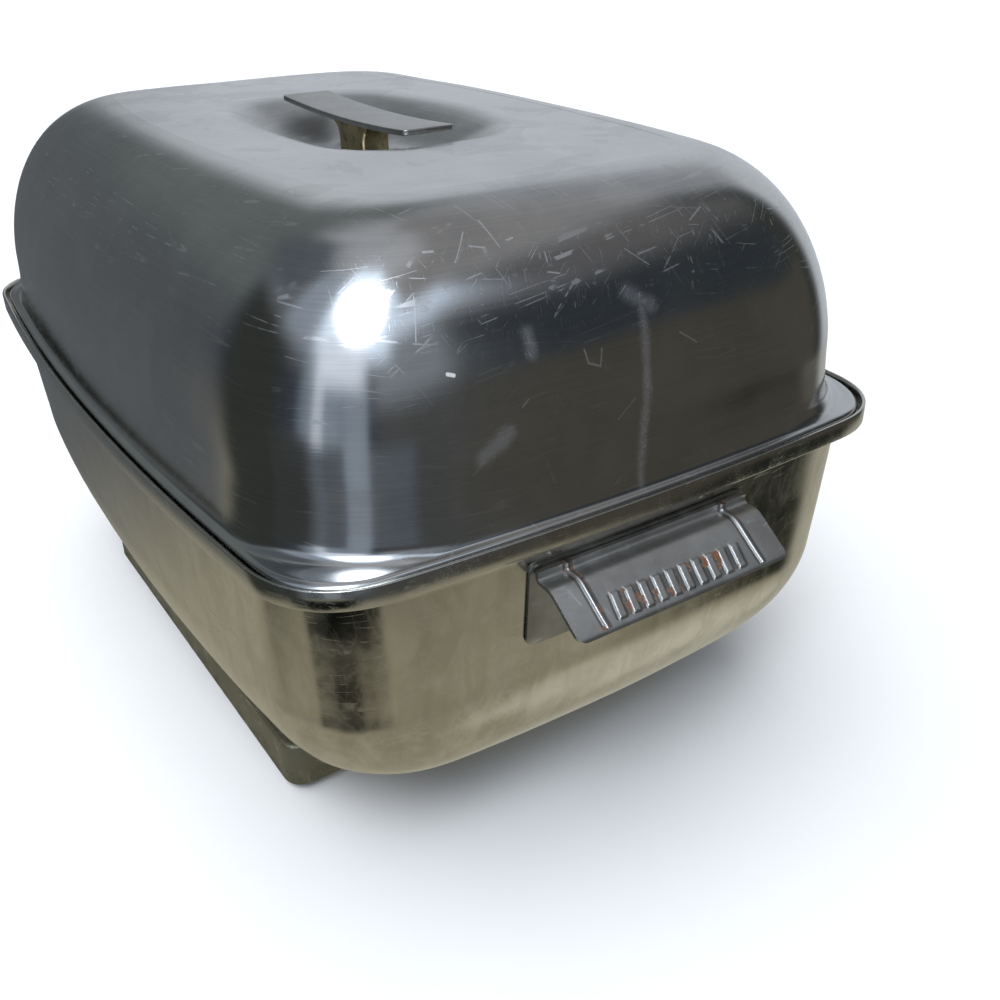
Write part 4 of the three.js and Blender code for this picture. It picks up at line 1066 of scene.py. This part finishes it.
def mineral(name, dark, light, roughness, grain_size, depth):
    """A non-metal: ceramic, moulded plastic, rubber or sleeving, told apart by colour and grain."""
    p = Paint(name)
    cloud, grain = p.clouds(9, 4, 0.6), p.clouds(grain_size, 3, 0.6, shift=2)
    scuff = p.scratches(60, 20, 3, 2, 30, patch=8)
    scuffed = tuple(min(c * 2.5 + 0.05, 0.9) for c in light[:3]) + (1,)
    colour = p.layered(p.blend(p.fade(p.sum((cloud, 0.6), (grain, 0.4)), 0.3, 0.7), dark, light),
                       (scuff, 0.25, scuffed))
    p.relief(p.sum((grain, 0.8), (scuff, -0.3)), depth, 0.5)
    return p.finish(colour, p.sum(roughness, (grain, 0.12), (scuff, 0.1)))


def amber_lens():
    """The lamp's amber plastic, which lets light through."""
    p = Paint("amber_lens", roughness=0.12)
    p.shader.inputs["Transmission Weight"].default_value = 0.55
    p.shader.inputs["IOR"].default_value = 1.49
    cloud, haze = p.clouds(2.5, 3), p.clouds(0.6, 3, shift=3)
    p.relief(haze, 0.03, 0.3)
    colour = p.blend(cloud, linear(196, 92, 12), linear(235, 142, 34))
    return p.finish(colour, p.sum(0.08, (haze, 0.14)))


MATERIALS = {
    "lid_steel": lid_steel(),
    "pan_steel": pan_steel(),
    "satin_steel": satin_steel(),
    "rusty_steel": rusty_steel(),
    "brass_stem": brass_stem(),
    "base_steel": base_steel(),
    "cast_plate": cast_plate(),
    "bright_wire": bright_wire(),
    "sheath": sheath(),
    "ceramic": mineral("ceramic", linear(196, 188, 170), linear(226, 220, 205), 0.35, 1.2, 0.05),
    "black_plastic": mineral("black_plastic", (0.012, 0.012, 0.013, 1), (0.03, 0.03, 0.031, 1), 0.34, 0.5,
                             0.03),
    "rubber": mineral("rubber", (0.011, 0.011, 0.011, 1), (0.028, 0.027, 0.026, 1), 0.62, 0.8, 0.06),
    "glass_fibre": mineral("glass_fibre", linear(150, 142, 120), linear(205, 198, 176), 0.7, 0.7, 0.1),
    "dial_paint": mineral("dial_paint", linear(205, 203, 194), linear(232, 230, 222), 0.45, 0.6, 0.02),
    "amber_lens": amber_lens(),
}


# ------------------------------------------------------------------ putting it together

def fit(obj, body, material, slot, *nodes):
    """Finishes a new piece: its material, the body it rides on and the CAD nodes that it stands for."""
    obj.data.materials.clear()
    obj.data.materials.append(MATERIALS[material])
    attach(obj, body)
    if nodes:
        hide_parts(*nodes)


def place_new_pieces():
    """Makes every piece that stands for a CAD node or adds to one."""
    fit(lid_body(), "lid", "lid_steel", "lid_steel", "lid_shell")
    fit(grip_top(), "lid", "satin_steel", "satin_steel", "grip_plate")
    fit(grip_neck(), "lid", "brass_stem", "brass_stem", "grip_stem")
    fit(pan_body(), "pan", "pan_steel", "pan_steel", "pan_shell")
    for name, side in (("near", 1), ("far", -1)):
        grip, plate = end_handle(f"{name}_grip", side), handle_plate(f"{name}_back_plate", side)
        fit(grip, "pan", "rusty_steel", "satin_steel", f"{name}_handle")
        fit(plate, "pan", "satin_steel", "satin_steel", f"{name}_handle_plate")
    fit(tray_body(), "tray", "bright_wire", "satin_steel", "drip_tray")
    fit(rack_wires(), "rack", "bright_wire", "bright_wire", "wire_rack")
    fit(housing_body(), "base", "base_steel", "base_steel", "base_housing")
    fit(heater_plate(), "base", "cast_plate", "cast_plate", "hot_plate")
    for i in range(1, 5):
        fit(rack_leg(i), "rack", "bright_wire", "bright_wire", f"rack_leg_{i}")
        fit(base_foot(i), "base", "rubber", "rubber", f"foot_{i}")
    knob, pointer = knob_body()
    fit(knob, "control", "black_plastic", "black_plastic", "control_knob")
    fit(pointer, "control", "dial_paint", "black_plastic")
    fit(dial_marks(), "base", "dial_paint", "base_steel")
    fit(lens_dome(), "base", "amber_lens", "amber_lens", "pilot_lens")


CARRIED_OVER = {
    "satin_steel": ("bottom_plate", "heat_reflector", "centre_bolt", "centre_nut", "lower_spacer",
                    "upper_spacer", "thermostat_nut", "thermostat_shaft", "grip_backing_plate",
                    "grip_screw_left", "grip_screw_right", "pilot_lamp",
                    *[f"element_support_{i}" for i in (1, 2, 3)], *[f"foot_screw_{i}" for i in (1, 2, 3, 4)]),
    "bright_wire": ("inlet_pin_left", "inlet_pin_right"),
    "sheath": ("heating_element",),
    "ceramic": ("terminal_block",),
    "black_plastic": ("inlet_socket", "thermostat_body"),
    "glass_fibre": ("lead_inlet_to_thermostat", "lead_thermostat_to_element", "lead_inlet_to_element",
                    "lamp_lead_live", "lamp_lead_neutral"),
}


def dress_carried_over():
    """Gives the CAD nodes that stay in sight their materials and softened edges."""
    for material, nodes in CARRIED_OVER.items():
        for node in nodes:
            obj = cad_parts[node]
            for slot in obj.material_slots:
                slot.material = MATERIALS[material]
            bevel(obj, 0.25, segments=2, angle=40)


# ------------------------------------------------------------------ studio

CAMERA = {"azimuth": 56.36, "elevation": 28.72, "roll": -0.69, "target": (185.4, -49.2, 154.6),
          "distance": 396.2, "lens": 39.16}
# what the metal sees level with it, below and above, unless a panel covers it
HAZE = (0.05, 0.06, 0.08)
GROUND = (0.40, 0.38, 0.295)
OVERHEAD = (0.48, 0.50, 0.53)
# Soft panels round the object, each over those before it: azimuth, half width, lowest and highest edge and
# softness in degrees, then light. They were set to the tones that polished metal shows the camera.
PANELS = (
    (180, 36, -30, 14, 8, (0.12, 0.13, 0.14)),
    (180, 40, 14, 60, 10, (0.16, 0.18, 0.18)),
    (-116, 22, -40, 36, 8, (0.045, 0.05, 0.045)),
    (128, 39, -20, 38, 9, (0.60, 0.64, 0.69)),
    (70, 22, -25, 50, 9, (0.045, 0.05, 0.045)),
    (50, 30, -37, 12, 4, (0.08, 0.075, 0.062)),
    (44, 26, 12, 36, 6, (0.04, 0.048, 0.055)),
    (44, 40, 36, 52, 6, (0.14, 0.14, 0.145)),
    (0, 24, -40, 14, 8, (0.085, 0.088, 0.088)),
    (-2, 24, 14, 40, 8, (0.28, 0.31, 0.345)),
    (10, 26, 42, 66, 7, (0.93, 1.08, 1.28)),
    (-62, 14, -5, 34, 8, (0.30, 0.36, 0.43)),
    (-66, 3, -12, 34, 2, (0.75, 0.82, 0.92)),
    (-90, 16, 34, 72, 8, (0.36, 0.42, 0.50)),
    (-45, 30, 34, 82, 7, (1.15, 1.35, 1.60)),
    (-135, 26, 38, 72, 8, (0.12, 0.14, 0.16)),
    (70, 70, 52, 72, 6, (0.30, 0.30, 0.305)),
    (-38, 36, -27, -4, 4, (0.12, 0.14, 0.165)),
    (-40, 8, -25, 24, 2, (0.31, 0.36, 0.43)),
    (-52, 17, 22, 44, 6, (0.95, 1.05, 1.2)),
    (-86, 13, -32, -2, 4, (0.055, 0.06, 0.06)),
    (-66, 3, -27, -8, 2, (0.15, 0.18, 0.21)),
    (-45, 30, -47, -34, 4, (0.05, 0.052, 0.042)),
    (-52, 38, -45, -30, 2, (0.006, 0.008, 0.008)),
    (-54, 27, -48, -42, 2, (0.006, 0.008, 0.008)),
    (-57, 14, -51, -46, 2, (0.008, 0.010, 0.010)),
    (-80, 10, -47, -30, 2, (0.026, 0.032, 0.032)),
    (59, 11, -37, -20, 3, (0.022, 0.026, 0.022)),
    (110, 40, -60, -24, 8, (0.48, 0.47, 0.40)),
    (64, 24, -62, -44, 4, (0.66, 0.64, 0.55)),
)
KEY = {"azimuth": -42, "elevation": 56, "size": 11, "light": (7.0, 7.5, 8.2)}
BACKDROP = (0.93, 0.93, 0.93)


def towards(azimuth, elevation):
    """The unit direction at an azimuth and elevation in degrees."""
    a, e = math.radians(azimuth), math.radians(elevation)
    return Vector((math.cos(a) * math.cos(e), math.sin(a) * math.cos(e), math.sin(e)))


class Surroundings(Paint):
    """The world's light: panels over a plain gradient. Its `place` is the direction looked in."""

    def __init__(self):
        self.tree = self.fresh_tree()
        self.place = self.node("ShaderNodeTexCoord").outputs["Generated"]
        self.z = self.node("ShaderNodeSeparateXYZ", {0: self.place}).outputs[2]

    def fresh_tree(self):
        world = bpy.data.worlds.new("studio")
        world.use_nodes = True
        bpy.context.scene.world = world
        return world.node_tree

    def nearness(self, direction, flat):
        """The cosine of the angle to a direction, measured round the horizon only where `flat` is set."""
        look = self.place
        if flat:
            look = self.vector("NORMALIZE", self.vector("MULTIPLY", look, (1, 1, 0)))
        return self.vector("DOT_PRODUCT", look, direction)

    def panel(self, azimuth, half, low, high, soft):
        """1 inside a panel's edges and 0 outside them."""
        cosine = [math.cos(math.radians(min(max(half + s, 0), 180))) for s in (soft, -soft)]
        edges = (low - soft, low + soft, high + soft, high - soft)
        sine = [math.sin(math.radians(min(max(edge, -90), 90))) for edge in edges]
        across = self.fade(self.nearness(towards(azimuth, 0), True), *cosine)
        return self.both(across, self.fade(self.z, *sine[:2]), self.fade(self.z, *sine[2:]))

    def light(self):
        colour = self.blend(self.fade(self.z, -0.5, 0.05), GROUND + (1,), HAZE + (1,))
        colour = self.blend(self.fade(self.z, 0.3, 0.95), colour, OVERHEAD + (1,))
        for azimuth, half, low, high, soft, light in PANELS:
            colour = self.blend(self.panel(azimuth, half, low, high, soft), colour, light + (1,))
        size = math.radians(KEY["size"])
        near_key = self.nearness(towards(KEY["azimuth"], KEY["elevation"]), False)
        key = self.fade(near_key, math.cos(size * 1.6), math.cos(size * 0.5))
        colour = self.blend(key, colour, KEY["light"] + (1,))
        seen = self.node("ShaderNodeLightPath").outputs["Is Camera Ray"]
        colour = self.blend(seen, colour, BACKDROP + (1,))
        self.feed(self.tree.nodes["Background"].inputs["Color"], colour)


def floor():
    """A plain pale floor that runs to the horizon. The metal sees the surroundings in its place."""
    half = 30000
    corners = [(-half, -half, 0), (half, -half, 0), (half, half, 0), (-half, half, 0)]
    obj = build("floor", corners, [(0, 1, 2, 3)])
    p = Paint("floor_paper", roughness=0.9)
    colour = p.blend(p.clouds(40, 3), (0.80, 0.80, 0.80, 1), (0.82, 0.82, 0.82, 1))
    obj.data.materials.append(p.finish(colour))
    obj.visible_glossy = False


def soft_light():
    """One broad light from above, for the floor and dull parts. Polished metal doesn't mirror it."""
    data = bpy.data.lights.new("overhead", "SUN")
    data.energy = 2.6
    data.angle = math.radians(80)
    obj = bpy.data.objects.new("overhead", data)
    obj.rotation_euler = (math.radians(18), math.radians(-10), 0)
    obj.visible_glossy = False
    bpy.context.scene.collection.objects.link(obj)


def camera():
    """The camera at the viewing angle, which looks at the target from `distance` mm away."""
    data = bpy.data.cameras.new("camera")
    data.lens = CAMERA["lens"]
    data.clip_start = 0.01
    obj = bpy.data.objects.new("camera", data)
    turn = (Matrix.Rotation(math.radians(CAMERA["azimuth"]), 4, "Z")
            @ Matrix.Rotation(math.radians(90 - CAMERA["elevation"]), 4, "X")
            @ Matrix.Rotation(math.radians(CAMERA["roll"]), 4, "Z"))
    back = turn @ Vector((0, 0, 1))
    target = Vector(CAMERA["target"]) * MM
    obj.matrix_world = Matrix.Translation(target + back * CAMERA["distance"] * MM) @ turn
    bpy.context.scene.collection.objects.link(obj)
    bpy.context.scene.camera = obj


place_new_pieces()
dress_carried_over()
Surroundings().light()
floor()
soft_light()
camera()
bpy.context.scene.view_settings.view_transform = "Standard"
